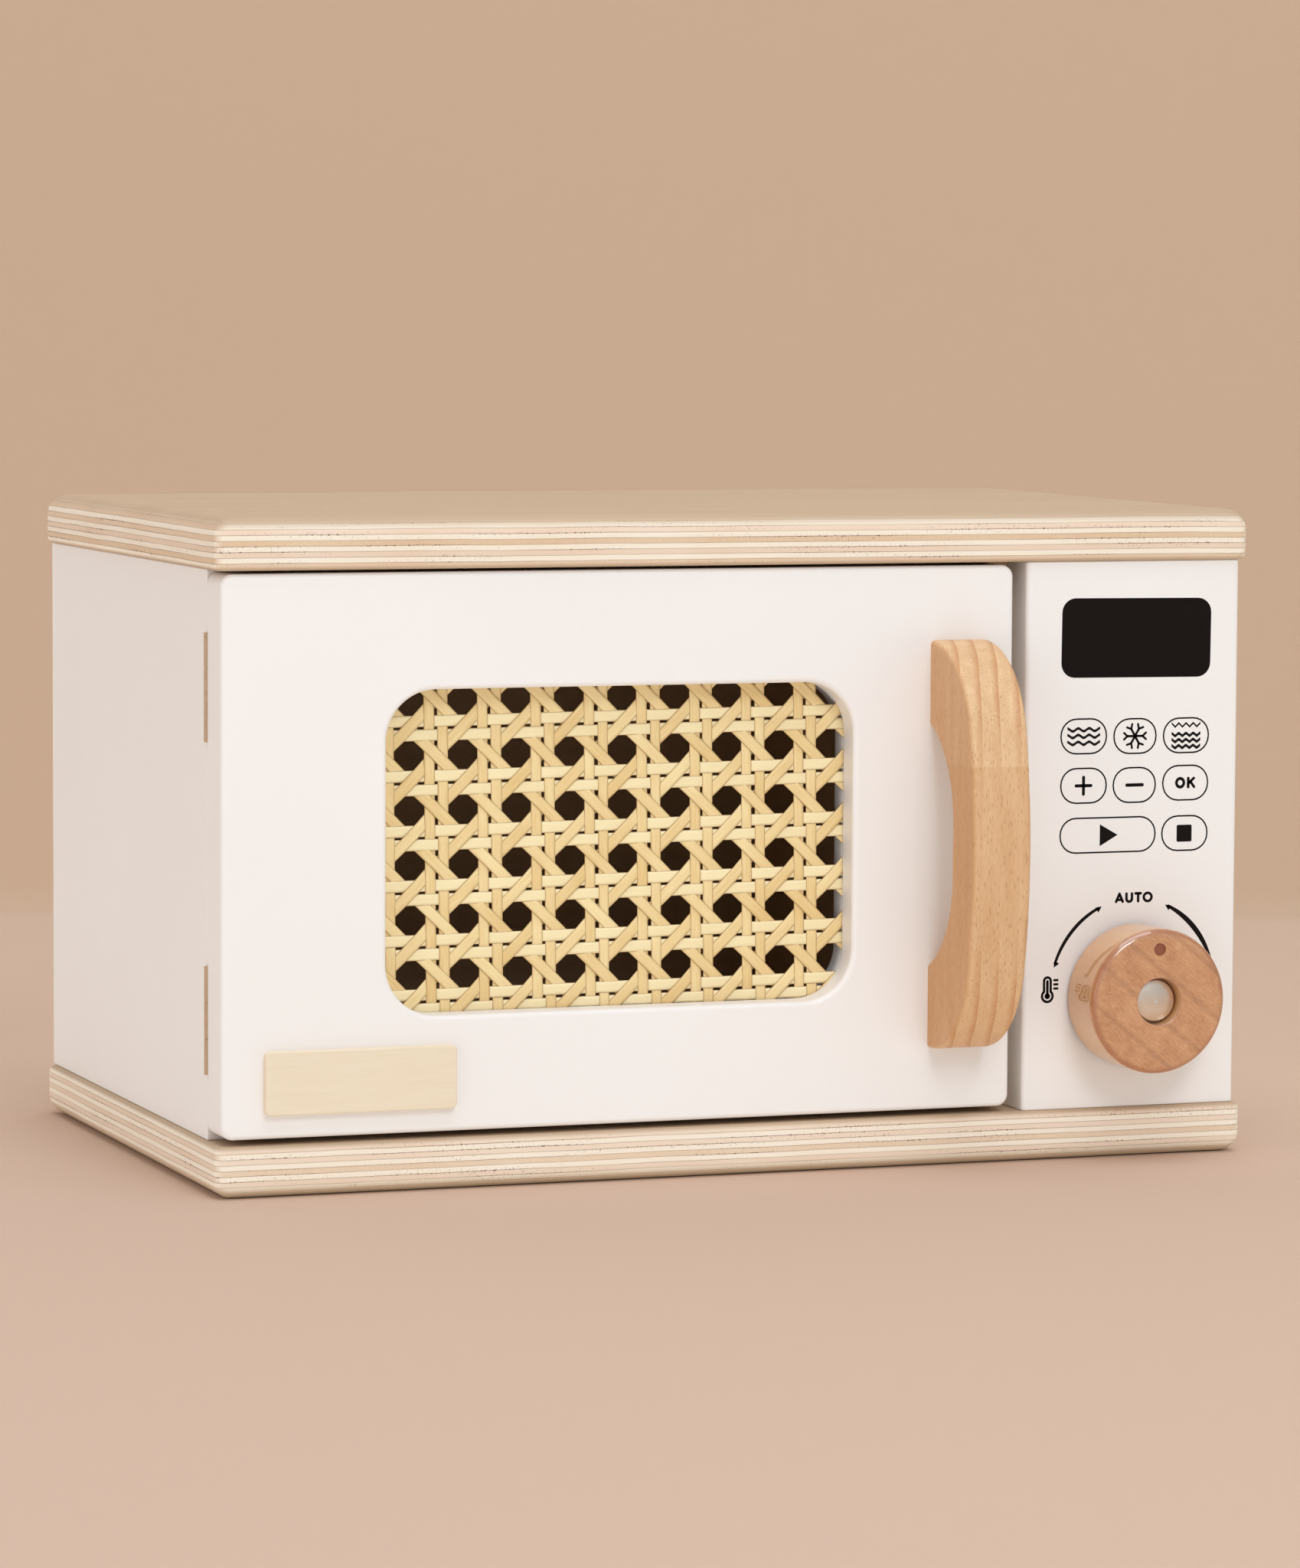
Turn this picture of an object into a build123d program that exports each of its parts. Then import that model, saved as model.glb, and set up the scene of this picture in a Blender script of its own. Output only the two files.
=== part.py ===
from build123d import *
import os

os.makedirs("parts", exist_ok=True)

# Wooden toy microwave, in millimetres. +Z is up and the door faces -Y. The origin is the middle of
# the base board's underside.

# Boards and cabinet
board_thickness = 15.0
board_side_overhang = 2.0
board_front_overhang = 1.5
board_roll_radius = 6.0
board_corner_radius = 3.0
board_arris_radius = 2.0
body_depth = 191.5
side_thickness = 12.0
divider_thickness = 15.0
divider_lap = 2.0
back_thickness = 6.0
back_rebate_width = 7.0
paint_edge_radius = 0.5
joint_clearance = 0.05
overrun = 5.0

# Door and control panel
door_width = 241.2
door_height = 160.0
door_thickness = 15.0
door_bottom_gap = 1.8
door_top_gap = 0.9
door_seam_gap = 0.4
door_corner_radius = 3.5
door_edge_radius = 1.5
control_gap = 4.5
control_width = 68.7
control_thickness = 15.0

# Window, webbing and the frame that clamps it
window_left_margin = 48.6
window_right_margin = 50.1
window_bottom_margin = 33.4
window_top_margin = 33.4
window_radius = 15.0
rebate_width = 9.0
rebate_radius = 6.0
lip_thickness = 8.2
cane_thickness = 1.0
retainer_clearance = 0.3
cane_pitch_x = 16.15
cane_pitch_z = 15.74
cane_row_drift = -0.18
cane_column_rise = 0.11
cane_first_x = 10.0
cane_first_z = 10.8
cane_hole_flats = 8.8
cane_hole_sides = 8
cane_slit_width = 0.9
cane_slit_length = 2.0
cane_slit_offset = 4.8

# Handle
handle_length = 120.0
handle_width = 18.0
handle_reach = 34.0
handle_end_radius = 31.0
handle_from_door_edge = 17.2
handle_drop = 1.7
handle_edge_radius = 1.5
grip_length = 70.0
grip_gap = 17.0
grip_flat_length = 16.0
grip_edge_radius = 1.2

# Plaque
plaque_width = 56.7
plaque_height = 18.2
plaque_thickness = 2.5
plaque_left = 12.3
plaque_bottom = 6.9
plaque_corner_radius = 1.5
plaque_edge_radius = 0.5

# Butt hinges
hinge_length = 31.0
hinge_inset = 32.6
hinge_outset = 0.1
hinge_leaf_reach = 10.0
hinge_leaf_thickness = 0.5
knuckle_radius = 0.7
knuckle_gap = 0.2
pin_radius = 0.35
pin_clearance = 0.05
barrel_clearance = 0.15

# Wood screws
small_screw_radius = 1.0
small_screw_head_radius = 1.9
small_screw_head_height = 0.7
hinge_screw_length = 8.0
hinge_screw_edge_distance = 4.6
hinge_screw_end_distance = 6.0
retainer_screw_length = 10.0
back_screw_length = 14.0
back_screw_end_distance = 22.0
handle_screw_radius = 1.8
handle_screw_head_radius = 3.4
handle_screw_head_height = 2.0
handle_screw_length = 30.0

# Dowels
dowel_radius = 3.0
dowel_length = 20.0
dowel_in_board = 9.0
dowel_end_distance = 30.0

# Magnets
magnet_radius = 3.0
magnet_thickness = 3.0
magnet_from_door_edge = 4.2

# Knob and its bolt
knob_radius = 21.5
knob_height = 18.4
knob_center_x = 35.3
knob_center_z = 33.5
knob_rim_radius = 2.4
knob_back_radius = 1.0
knob_well_radius = 6.9
knob_well_depth = 6.4
knob_well_rim_radius = 0.4
knob_end_gap = 0.1
pointer_radius = 1.85
pointer_depth = 0.6
pointer_offset = 15.5
bolt_radius = 3.0
bolt_running_clearance = 0.08
bolt_head_radius = 6.0
bolt_head_rim = 3.2
bolt_head_dome = 0.8
bolt_tip_length = 2.0
washer_radius = 8.0
washer_thickness = 0.8
nut_across_flats = 10.0
nut_sides = 6
nut_height = 5.0

# Places of the main faces
body_width = door_width + control_gap + control_width
carcass_height = door_bottom_gap + door_height + door_top_gap
board_width = body_width + 2 * board_side_overhang
board_depth = body_depth + board_front_overhang
x_left = -body_width / 2
x_right = body_width / 2
x_door_right = x_left + door_width
x_control = x_door_right + control_gap
x_divider = x_control + divider_lap - divider_thickness / 2
y_back = board_depth / 2
y_front = y_back - body_depth
y_door_back = y_front + door_thickness
y_carcass = y_door_back + door_seam_gap
y_control = y_carcass - control_thickness
y_back_panel = y_back - back_thickness
z_floor = board_thickness
z_ceiling = z_floor + carcass_height
z_middle = z_floor + carcass_height / 2
z_door = z_floor + door_bottom_gap

# Which way a block or a cylinder grows from its place
up_from = (Align.CENTER, Align.CENTER, Align.MIN)
back_from = (Align.CENTER, Align.MIN, Align.CENTER)


def facing_front(y):
    # drawing plane at depth y: its x is the part's X, its y the part's Z, and it extrudes to the front
    return Plane.XZ.offset(-y)


def backward(x, y, z):
    # place at a front face, with its own +Z running into the part towards the back
    return Location(Plane(origin=(x, y, z), x_dir=(1, 0, 0), z_dir=(0, 1, 0)))


def forward(x, y, z):
    # place at a rear face, with its own +Z running into the part towards the front
    return Location(Plane(origin=(x, y, z), x_dir=(1, 0, 0), z_dir=(0, -1, 0)))


def either_side(middle, distance):
    return (middle - distance, middle + distance)


# Countersunk wood screws. With a clearance the same shape is the hole for the screw, and both are made
# at every current location.
def screw(length, radius, head_radius, head_height, clearance=0.0):
    mode = Mode.SUBTRACT if clearance else Mode.ADD
    Cylinder(radius + clearance, length + clearance, align=up_from, mode=mode)
    Cone(head_radius + clearance, radius + clearance, head_height, align=up_from, mode=mode)


def small_screw(length, clearance=0.0):
    screw(length, small_screw_radius, small_screw_head_radius, small_screw_head_height, clearance)


def handle_screw(clearance=0.0):
    screw(
        handle_screw_length,
        handle_screw_radius,
        handle_screw_head_radius,
        handle_screw_head_height,
        clearance,
    )


# Where the hinge screws go: two in each leaf of each hinge
hinge_middles = (z_door + hinge_inset, z_door + door_height - hinge_inset)
hinge_screw_x = x_left + hinge_leaf_reach - hinge_screw_edge_distance
hinge_screw_spread = hinge_length / 2 - hinge_screw_end_distance
hinge_screw_heights = [z for middle in hinge_middles for z in either_side(middle, hinge_screw_spread)]
cabinet_leaf_screw_places = [backward(hinge_screw_x, y_carcass, z) for z in hinge_screw_heights]
door_leaf_screw_places = [forward(hinge_screw_x, y_door_back, z) for z in hinge_screw_heights]

# Where the back panel's screws go: into both sides, near top and base
back_screw_columns = either_side(0, body_width / 2 - side_thickness + back_rebate_width / 2)
back_screw_heights = either_side(z_middle, carcass_height / 2 - back_screw_end_distance)
back_screw_places = [forward(x, y_back, z) for x in back_screw_columns for z in back_screw_heights]

# Where the dowels stand: two at each end of each upright board
upright_columns = (x_left + side_thickness / 2, x_divider, x_right - side_thickness / 2)
upright_rows = (y_carcass + dowel_end_distance, y_back_panel - dowel_end_distance)
dowel_points = [(x, y) for x in upright_columns for y in upright_rows]
base_dowel_places = [Location((x, y, z_floor - dowel_in_board)) for x, y in dowel_points]
top_dowel_places = [Location((x, y, z_ceiling + dowel_in_board - dowel_length)) for x, y in dowel_points]


def dowels_at(places, clearance=0.0):
    mode = Mode.SUBTRACT if clearance else Mode.ADD
    with Locations(*places):
        Cylinder(dowel_radius + clearance, dowel_length, align=up_from, mode=mode)


with BuildPart() as base_dowels:
    dowels_at(base_dowel_places)

with BuildPart() as top_dowels:
    dowels_at(top_dowel_places)


# Base and top: birch plywood with the outer edges rolled over and the inner edges eased.
def make_board(z_low, rolled_side, dowel_places):
    with BuildPart() as board:
        with BuildSketch(Plane.XY.offset(z_low)):
            Rectangle(board_width, board_depth)
        extrude(amount=board_thickness)
        rolled_face = board.faces().sort_by(Axis.Z)[rolled_side]
        fillet(rolled_face.edges(), board_roll_radius)
        fillet(board.edges().filter_by(Axis.Z), board_corner_radius)
        inner_face = board.faces().sort_by(Axis.Z)[-1 - rolled_side]
        fillet(inner_face.edges(), board_arris_radius)
        dowels_at(dowel_places, joint_clearance)
    return board


base_board = make_board(z_floor - board_thickness, 0, base_dowel_places)
top_board = make_board(z_ceiling, -1, top_dowel_places)


# Seats for both hinges in a board's face: a pocket for each leaf, and the round groove that gives its
# barrel room. The pins stand in the middle of the seam between door and cabinet.
hinge_x = x_left - hinge_outset
hinge_y = (y_door_back + y_carcass) / 2


def hinge_seats(y_face):
    seat_length = hinge_length + 2 * barrel_clearance
    seat_reach = overrun + hinge_leaf_reach + joint_clearance
    for middle in hinge_middles:
        with Locations((x_left - overrun, y_face, middle)):
            Box(
                seat_reach,
                2 * hinge_leaf_thickness,
                seat_length,
                align=(Align.MIN, Align.CENTER, Align.CENTER),
                mode=Mode.SUBTRACT,
            )
        with Locations((hinge_x, hinge_y, middle)):
            Cylinder(knuckle_radius + barrel_clearance, seat_length, mode=Mode.SUBTRACT)


# Side panels: painted boards on end, rebated at the back for the back panel. The left one carries the
# hinges in its front edge.
def make_side(x_low, x_inner, has_hinges):
    with BuildPart() as side:
        with Locations((x_low + side_thickness / 2, y_carcass, z_middle)):
            Box(side_thickness, y_back - y_carcass, carcass_height, align=back_from)
        fillet(side.edges(), paint_edge_radius)
        with Locations((x_inner, y_back, z_middle)):
            Box(2 * back_rebate_width, 2 * back_thickness, carcass_height, mode=Mode.SUBTRACT)
        dowels_at(base_dowel_places, joint_clearance)
        dowels_at(top_dowel_places, joint_clearance)
        with Locations(*back_screw_places):
            small_screw(back_screw_length, joint_clearance)
        if has_hinges:
            hinge_seats(y_carcass)
            with Locations(*cabinet_leaf_screw_places):
                small_screw(hinge_screw_length, joint_clearance)
    return side


left_side_panel = make_side(x_left, x_left + side_thickness, has_hinges=True)
right_side_panel = make_side(x_right - side_thickness, x_right - side_thickness, has_hinges=False)

# Divider between the oven and the control compartment, with a magnet let into its front edge.
magnet_x = x_door_right - magnet_from_door_edge
magnet_z = z_door + door_height / 2

with BuildPart() as divider_panel:
    with Locations((x_divider, y_carcass, z_middle)):
        Box(divider_thickness, y_back_panel - y_carcass, carcass_height, align=back_from)
    fillet(divider_panel.edges().filter_by(Axis.Z), paint_edge_radius)
    dowels_at(base_dowel_places, joint_clearance)
    dowels_at(top_dowel_places, joint_clearance)
    with Locations(backward(magnet_x, y_carcass, magnet_z)):
        Cylinder(magnet_radius + joint_clearance, magnet_thickness, align=up_from, mode=Mode.SUBTRACT)

with BuildPart() as cabinet_magnet:
    with Locations(backward(magnet_x, y_carcass, magnet_z)):
        Cylinder(magnet_radius, magnet_thickness, align=up_from)

# Back panel, let into the rebates of the sides and screwed on.
with BuildPart() as back_panel:
    back_width = body_width - 2 * (side_thickness - back_rebate_width + joint_clearance)
    with Locations((0, y_back_panel, z_middle)):
        Box(back_width, back_thickness, carcass_height, align=back_from)
    with Locations(*back_screw_places):
        small_screw(back_screw_length, joint_clearance)

with BuildPart() as back_panel_screws:
    with Locations(*back_screw_places):
        small_screw(back_screw_length)

# Control panel: painted board glued to the front of the control compartment. The knob's bolt passes
# through it.
knob_x = x_control + knob_center_x
knob_z = z_floor + knob_center_z

with BuildPart() as control_panel:
    with Locations((x_control + control_width / 2, y_control, z_middle)):
        Box(control_width, control_thickness, carcass_height, align=back_from)
    front_uprights = control_panel.faces().sort_by(Axis.Y)[0].edges().filter_by(Axis.Z)
    fillet(front_uprights, door_edge_radius)
    ends = control_panel.faces().filter_by(Axis.Z)
    rear_uprights = control_panel.faces().sort_by(Axis.Y)[-1].edges().filter_by(Axis.Z)
    fillet(ends.edges() + rear_uprights, paint_edge_radius)
    with Locations(backward(knob_x, y_control, knob_z)):
        Cylinder(bolt_radius + joint_clearance, control_thickness, align=up_from, mode=Mode.SUBTRACT)

# Butt hinges, three knuckles each: the outer two belong to the cabinet's leaf, the middle one to the
# door's, and the pin joins them.
knuckle_length = (hinge_length - 2 * knuckle_gap) / 3
knuckle_step = knuckle_length + knuckle_gap


def make_leaf(middle, y_near, own_knuckles, other_knuckles, screw_places):
    with BuildPart() as leaf:
        with Locations((hinge_x, y_near, middle)):
            Box(
                hinge_outset + hinge_leaf_reach,
                hinge_leaf_thickness,
                hinge_length,
                align=(Align.MIN, Align.MIN, Align.CENTER),
            )
        with Locations(*[(hinge_x, hinge_y, z) for z in other_knuckles]):
            room_length = knuckle_length + 2 * knuckle_gap
            Cylinder(knuckle_radius + barrel_clearance, room_length, mode=Mode.SUBTRACT)
        with Locations(*[(hinge_x, hinge_y, z) for z in own_knuckles]):
            Cylinder(knuckle_radius, knuckle_length)
        with Locations((hinge_x, hinge_y, middle)):
            Cylinder(pin_radius + pin_clearance, hinge_length, mode=Mode.SUBTRACT)
        with Locations(*screw_places):
            small_screw(hinge_screw_length, joint_clearance)
    return leaf


def make_hinge(middle):
    outer_knuckles = either_side(middle, knuckle_step)
    y_door_leaf = y_door_back - hinge_leaf_thickness
    cabinet_leaf = make_leaf(middle, y_carcass, outer_knuckles, [middle], cabinet_leaf_screw_places)
    door_leaf = make_leaf(middle, y_door_leaf, [middle], outer_knuckles, door_leaf_screw_places)
    with BuildPart() as pin:
        with Locations((hinge_x, hinge_y, middle)):
            Cylinder(pin_radius, hinge_length)
    return cabinet_leaf, door_leaf, pin


lower_hinge_cabinet_leaf, lower_hinge_door_leaf, lower_hinge_pin = make_hinge(hinge_middles[0])
upper_hinge_cabinet_leaf, upper_hinge_door_leaf, upper_hinge_pin = make_hinge(hinge_middles[1])

with BuildPart() as cabinet_leaf_screws:
    with Locations(*cabinet_leaf_screw_places):
        small_screw(hinge_screw_length)

with BuildPart() as door_leaf_screws:
    with Locations(*door_leaf_screw_places):
        small_screw(hinge_screw_length)

# Where the window is, and where the webbing's frame is screwed to the door
window_width = door_width - window_left_margin - window_right_margin
window_height = door_height - window_bottom_margin - window_top_margin
window_x = x_left + window_left_margin + window_width / 2
window_z = z_door + window_bottom_margin + window_height / 2
rebate_size = (window_width + 2 * rebate_width, window_height + 2 * rebate_width)
retainer_size = [size - 2 * retainer_clearance for size in rebate_size]
retainer_columns = either_side(window_x, window_width / 2 + rebate_width / 2)
retainer_rows = either_side(window_z, window_height / 2 + rebate_width / 2)
retainer_spread = window_width / 2 - 2 * window_radius
retainer_screw_points = [(x, window_z) for x in retainer_columns]
for row in retainer_rows:
    retainer_screw_points += [(x, row) for x in either_side(window_x, retainer_spread)]
retainer_screw_places = [forward(x, y_door_back, z) for x, z in retainer_screw_points]

# Where the handle is, and where its screws enter from the back of the door
handle_x = x_door_right - handle_from_door_edge
handle_z = z_door + door_height / 2 - handle_drop
foot_middle = (handle_length + grip_length) / 4
handle_screw_places = [forward(handle_x, y_door_back, z) for z in either_side(handle_z, foot_middle)]

# Door: painted board with a round-cornered window, rebated from behind for the webbing and its frame.
with BuildPart() as door_panel:
    with BuildSketch(facing_front(y_door_back)):
        with Locations((x_left + door_width / 2, z_door + door_height / 2)):
            RectangleRounded(door_width, door_height, door_corner_radius)
        with Locations((window_x, window_z)):
            RectangleRounded(window_width, window_height, window_radius, mode=Mode.SUBTRACT)
    extrude(amount=door_thickness)
    fillet(door_panel.faces().sort_by(Axis.Y)[0].edges(), door_edge_radius)
    fillet(door_panel.faces().sort_by(Axis.Y)[-1].outer_wire().edges(), paint_edge_radius)
    with BuildSketch(facing_front(y_door_back)):
        with Locations((window_x, window_z)):
            RectangleRounded(*rebate_size, rebate_radius)
    extrude(amount=door_thickness - lip_thickness, mode=Mode.SUBTRACT)
    with Locations(*retainer_screw_places):
        small_screw(retainer_screw_length, joint_clearance)
    with Locations(*handle_screw_places):
        handle_screw(joint_clearance)
    hinge_seats(y_door_back)
    with Locations(*door_leaf_screw_places):
        small_screw(hinge_screw_length, joint_clearance)
    with Locations(forward(magnet_x, y_door_back, magnet_z)):
        Cylinder(magnet_radius + joint_clearance, magnet_thickness, align=up_from, mode=Mode.SUBTRACT)

with BuildPart() as door_magnet:
    with Locations(forward(magnet_x, y_door_back, magnet_z)):
        Cylinder(magnet_radius, magnet_thickness, align=up_from)

# Cane webbing: an eight-sided hole in each mesh of the weave, and between four holes the slits that
# stay open where the paired strands cross. Only what shows in the window is cut.
hole_columns = int((window_width - cane_first_x) / cane_pitch_x) + 1
hole_rows = int((window_height - cane_first_z) / cane_pitch_z) + 1
hole_points = []
upright_slit_points = []
level_slit_points = []


def in_window(x, z):
    return 0 < x < window_width and 0 < z < window_height


def mesh_middle(column, row):
    # the weave isn't quite square: each row is a little to the left, each column a little higher
    return (
        cane_first_x + column * cane_pitch_x + row * cane_row_drift,
        cane_first_z + row * cane_pitch_z + column * cane_column_rise,
    )


for column in range(-1, hole_columns):
    for row in range(-1, hole_rows):
        hole = mesh_middle(column, row)
        crossing = mesh_middle(column + 1 / 2, row + 1 / 2)
        hole_points += [hole] if in_window(*hole) else []
        for height in either_side(crossing[1], cane_slit_offset):
            upright_slit_points += [(crossing[0], height)] if in_window(crossing[0], height) else []
        for reach in either_side(crossing[0], cane_slit_offset):
            level_slit_points += [(reach, crossing[1])] if in_window(reach, crossing[1]) else []

window_corner = Location((x_left + window_left_margin, z_door + window_bottom_margin))

with BuildPart() as cane_webbing:
    with BuildSketch(facing_front(y_front + lip_thickness + cane_thickness)):
        with Locations((window_x, window_z)):
            RectangleRounded(*retainer_size, rebate_radius)
        with Locations(window_corner):
            with Locations(*hole_points):
                RegularPolygon(
                    cane_hole_flats / 2,
                    cane_hole_sides,
                    major_radius=False,
                    rotation=180 / cane_hole_sides,
                    mode=Mode.SUBTRACT,
                )
            with Locations(*upright_slit_points):
                Rectangle(cane_slit_width, cane_slit_length, mode=Mode.SUBTRACT)
            with Locations(*level_slit_points):
                Rectangle(cane_slit_length, cane_slit_width, mode=Mode.SUBTRACT)
    extrude(amount=cane_thickness)
    with Locations(*retainer_screw_places):
        small_screw(retainer_screw_length, joint_clearance)

# Frame that clamps the webbing into the rebate, flush with the back of the door.
with BuildPart() as cane_retainer_frame:
    with BuildSketch(facing_front(y_door_back)):
        with Locations((window_x, window_z)):
            RectangleRounded(*retainer_size, rebate_radius)
            RectangleRounded(window_width, window_height, window_radius, mode=Mode.SUBTRACT)
    extrude(amount=door_thickness - lip_thickness - cane_thickness)
    with Locations(*retainer_screw_places):
        small_screw(retainer_screw_length, joint_clearance)

with BuildPart() as retainer_screws:
    with Locations(*retainer_screw_places):
        small_screw(retainer_screw_length)

# Handle: bowed beech, cut from a board and rounded over. Its ends are arcs about a centre on the
# door's face, and a flatter arc over the middle runs into them without a break.
end_center = handle_length / 2 - handle_end_radius
crown_rise = handle_reach - handle_end_radius
crown_depth = (end_center**2 - crown_rise**2) / (2 * crown_rise)
shoulder_share = handle_end_radius / (crown_depth + crown_rise)
shoulder_along = end_center * (1 + shoulder_share)
shoulder_out = crown_depth * shoulder_share
handle_plane = Plane.YZ.offset(handle_x)


def beside_handle(along, out):
    # point of the handle's side view, measured along the door and out from it
    return (y_front - out, handle_z + along)


def off_the_door(edges):
    return edges.filter_by_position(Axis.Y, y_front - handle_reach, y_front, inclusive=(True, False))


with BuildPart() as handle:
    with BuildSketch(handle_plane):
        with BuildLine():
            Line(beside_handle(-handle_length / 2, 0), beside_handle(handle_length / 2, 0))
            for end in (-1, 1):
                foot = beside_handle(end * handle_length / 2, 0)
                shoulder = beside_handle(end * shoulder_along, shoulder_out)
                TangentArc(foot, shoulder, tangent=(-1, 0))
            ThreePointArc(
                beside_handle(-shoulder_along, shoulder_out),
                beside_handle(0, handle_reach),
                beside_handle(shoulder_along, shoulder_out),
            )
        make_face()
    extrude(amount=handle_width / 2, both=True)
    cheeks = handle.faces().sort_by(Axis.X)
    fillet(off_the_door(cheeks[0].edges() + cheeks[-1].edges()), handle_edge_radius)
    with BuildSketch(handle_plane):
        with BuildLine():
            Line(beside_handle(-grip_length / 2, 0), beside_handle(grip_length / 2, 0))
            for end in (-1, 1):
                heel = beside_handle(end * grip_length / 2, 0)
                under = beside_handle(end * grip_flat_length / 2, grip_gap)
                TangentArc(under, heel, tangent=(0, end))
            Line(
                beside_handle(-grip_flat_length / 2, grip_gap),
                beside_handle(grip_flat_length / 2, grip_gap),
            )
        make_face()
    extrude(amount=handle_width / 2, both=True, mode=Mode.SUBTRACT)
    grip_edges = handle.edges(Select.LAST).group_by(Axis.X)
    fillet(off_the_door(grip_edges[0] + grip_edges[-1]), grip_edge_radius)
    with Locations(*handle_screw_places):
        handle_screw(joint_clearance)

with BuildPart() as handle_screws:
    with Locations(*handle_screw_places):
        handle_screw()

# Bare plaque at the door's lower left.
with BuildPart() as plaque:
    with BuildSketch(facing_front(y_front)):
        plaque_x = x_left + plaque_left + plaque_width / 2
        with Locations((plaque_x, z_door + plaque_bottom + plaque_height / 2)):
            RectangleRounded(plaque_width, plaque_height, plaque_corner_radius)
    extrude(amount=plaque_thickness)
    fillet(plaque.faces().sort_by(Axis.Y)[0].edges(), plaque_edge_radius)

# Knob: turned beech with a sunk well for the bolt's head and a dimple that points at the dial. It runs
# between the washer and the head with a little end play.
y_knob_back = y_control - washer_thickness - knob_end_gap
y_knob_front = y_knob_back - knob_height
y_bolt_seat = y_knob_front + knob_well_depth - knob_end_gap
well_bottom = backward(knob_x, y_knob_front + knob_well_depth, knob_z)

with BuildPart() as knob:
    with BuildSketch(facing_front(y_knob_back)):
        with Locations((knob_x, knob_z)):
            Circle(knob_radius)
            Circle(bolt_radius + bolt_running_clearance, mode=Mode.SUBTRACT)
    extrude(amount=knob_height)
    fillet(knob.faces().sort_by(Axis.Y)[0].outer_wire().edges(), knob_rim_radius)
    fillet(knob.faces().sort_by(Axis.Y)[-1].outer_wire().edges(), knob_back_radius)
    with Locations(backward(knob_x, y_knob_front, knob_z)):
        Cylinder(knob_well_radius, knob_well_depth, align=up_from, mode=Mode.SUBTRACT)
    well_rim = knob.faces().sort_by(Axis.Y)[0].inner_wires()[0].edges()
    fillet(well_rim, knob_well_rim_radius)
    with Locations(backward(knob_x, y_knob_front, knob_z + pointer_offset)):
        Cylinder(pointer_radius, pointer_depth, align=up_from, mode=Mode.SUBTRACT)

# Bolt that the knob turns on: domed head in the well, plain shank, nut and washer inside the cabinet.
y_nut_front = y_carcass + washer_thickness
y_bolt_tip = y_nut_front + nut_height + bolt_tip_length

with BuildPart() as knob_bolt:
    with BuildSketch(Plane.XY.offset(knob_z)):
        with BuildLine():
            y_shoulder = y_bolt_seat - bolt_head_rim
            crown = (knob_x, y_shoulder - bolt_head_dome)
            rim = (knob_x + bolt_head_radius, y_shoulder)
            TangentArc(crown, rim, tangent=(1, 0))
            Polyline(
                rim,
                (knob_x + bolt_head_radius, y_bolt_seat),
                (knob_x + bolt_radius, y_bolt_seat),
                (knob_x + bolt_radius, y_bolt_tip),
                (knob_x, y_bolt_tip),
                crown,
            )
        make_face()
    revolve(axis=Axis((knob_x, 0, knob_z), (0, 1, 0)))

with BuildPart() as bolt_washers:
    for y_washer in (y_control, y_nut_front):
        with BuildSketch(facing_front(y_washer)):
            with Locations((knob_x, knob_z)):
                Circle(washer_radius)
                Circle(bolt_radius + joint_clearance, mode=Mode.SUBTRACT)
        extrude(amount=washer_thickness)

with BuildPart() as knob_nut:
    with BuildSketch(facing_front(y_nut_front + nut_height)):
        with Locations((knob_x, knob_z)):
            RegularPolygon(nut_across_flats / 2, nut_sides, major_radius=False)
            Circle(bolt_radius + joint_clearance, mode=Mode.SUBTRACT)
    extrude(amount=nut_height)

pieces = {
    "base_board": base_board,
    "top_board": top_board,
    "left_side_panel": left_side_panel,
    "right_side_panel": right_side_panel,
    "divider_panel": divider_panel,
    "back_panel": back_panel,
    "control_panel": control_panel,
    "base_dowels": base_dowels,
    "top_dowels": top_dowels,
    "back_panel_screws": back_panel_screws,
    "lower_hinge_cabinet_leaf": lower_hinge_cabinet_leaf,
    "upper_hinge_cabinet_leaf": upper_hinge_cabinet_leaf,
    "lower_hinge_pin": lower_hinge_pin,
    "upper_hinge_pin": upper_hinge_pin,
    "cabinet_leaf_screws": cabinet_leaf_screws,
    "cabinet_magnet": cabinet_magnet,
    "knob_bolt": knob_bolt,
    "knob_nut": knob_nut,
    "bolt_washers": bolt_washers,
    "door_panel": door_panel,
    "cane_webbing": cane_webbing,
    "cane_retainer_frame": cane_retainer_frame,
    "retainer_screws": retainer_screws,
    "handle": handle,
    "handle_screws": handle_screws,
    "plaque": plaque,
    "lower_hinge_door_leaf": lower_hinge_door_leaf,
    "upper_hinge_door_leaf": upper_hinge_door_leaf,
    "door_leaf_screws": door_leaf_screws,
    "door_magnet": door_magnet,
    "knob": knob,
}
for name, piece in pieces.items():
    piece.part.label = name
    export_step(piece.part, f"parts/{name}.step")
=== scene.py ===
import math
import random

import bmesh
import bpy
from mathutils import Matrix, Vector


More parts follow.
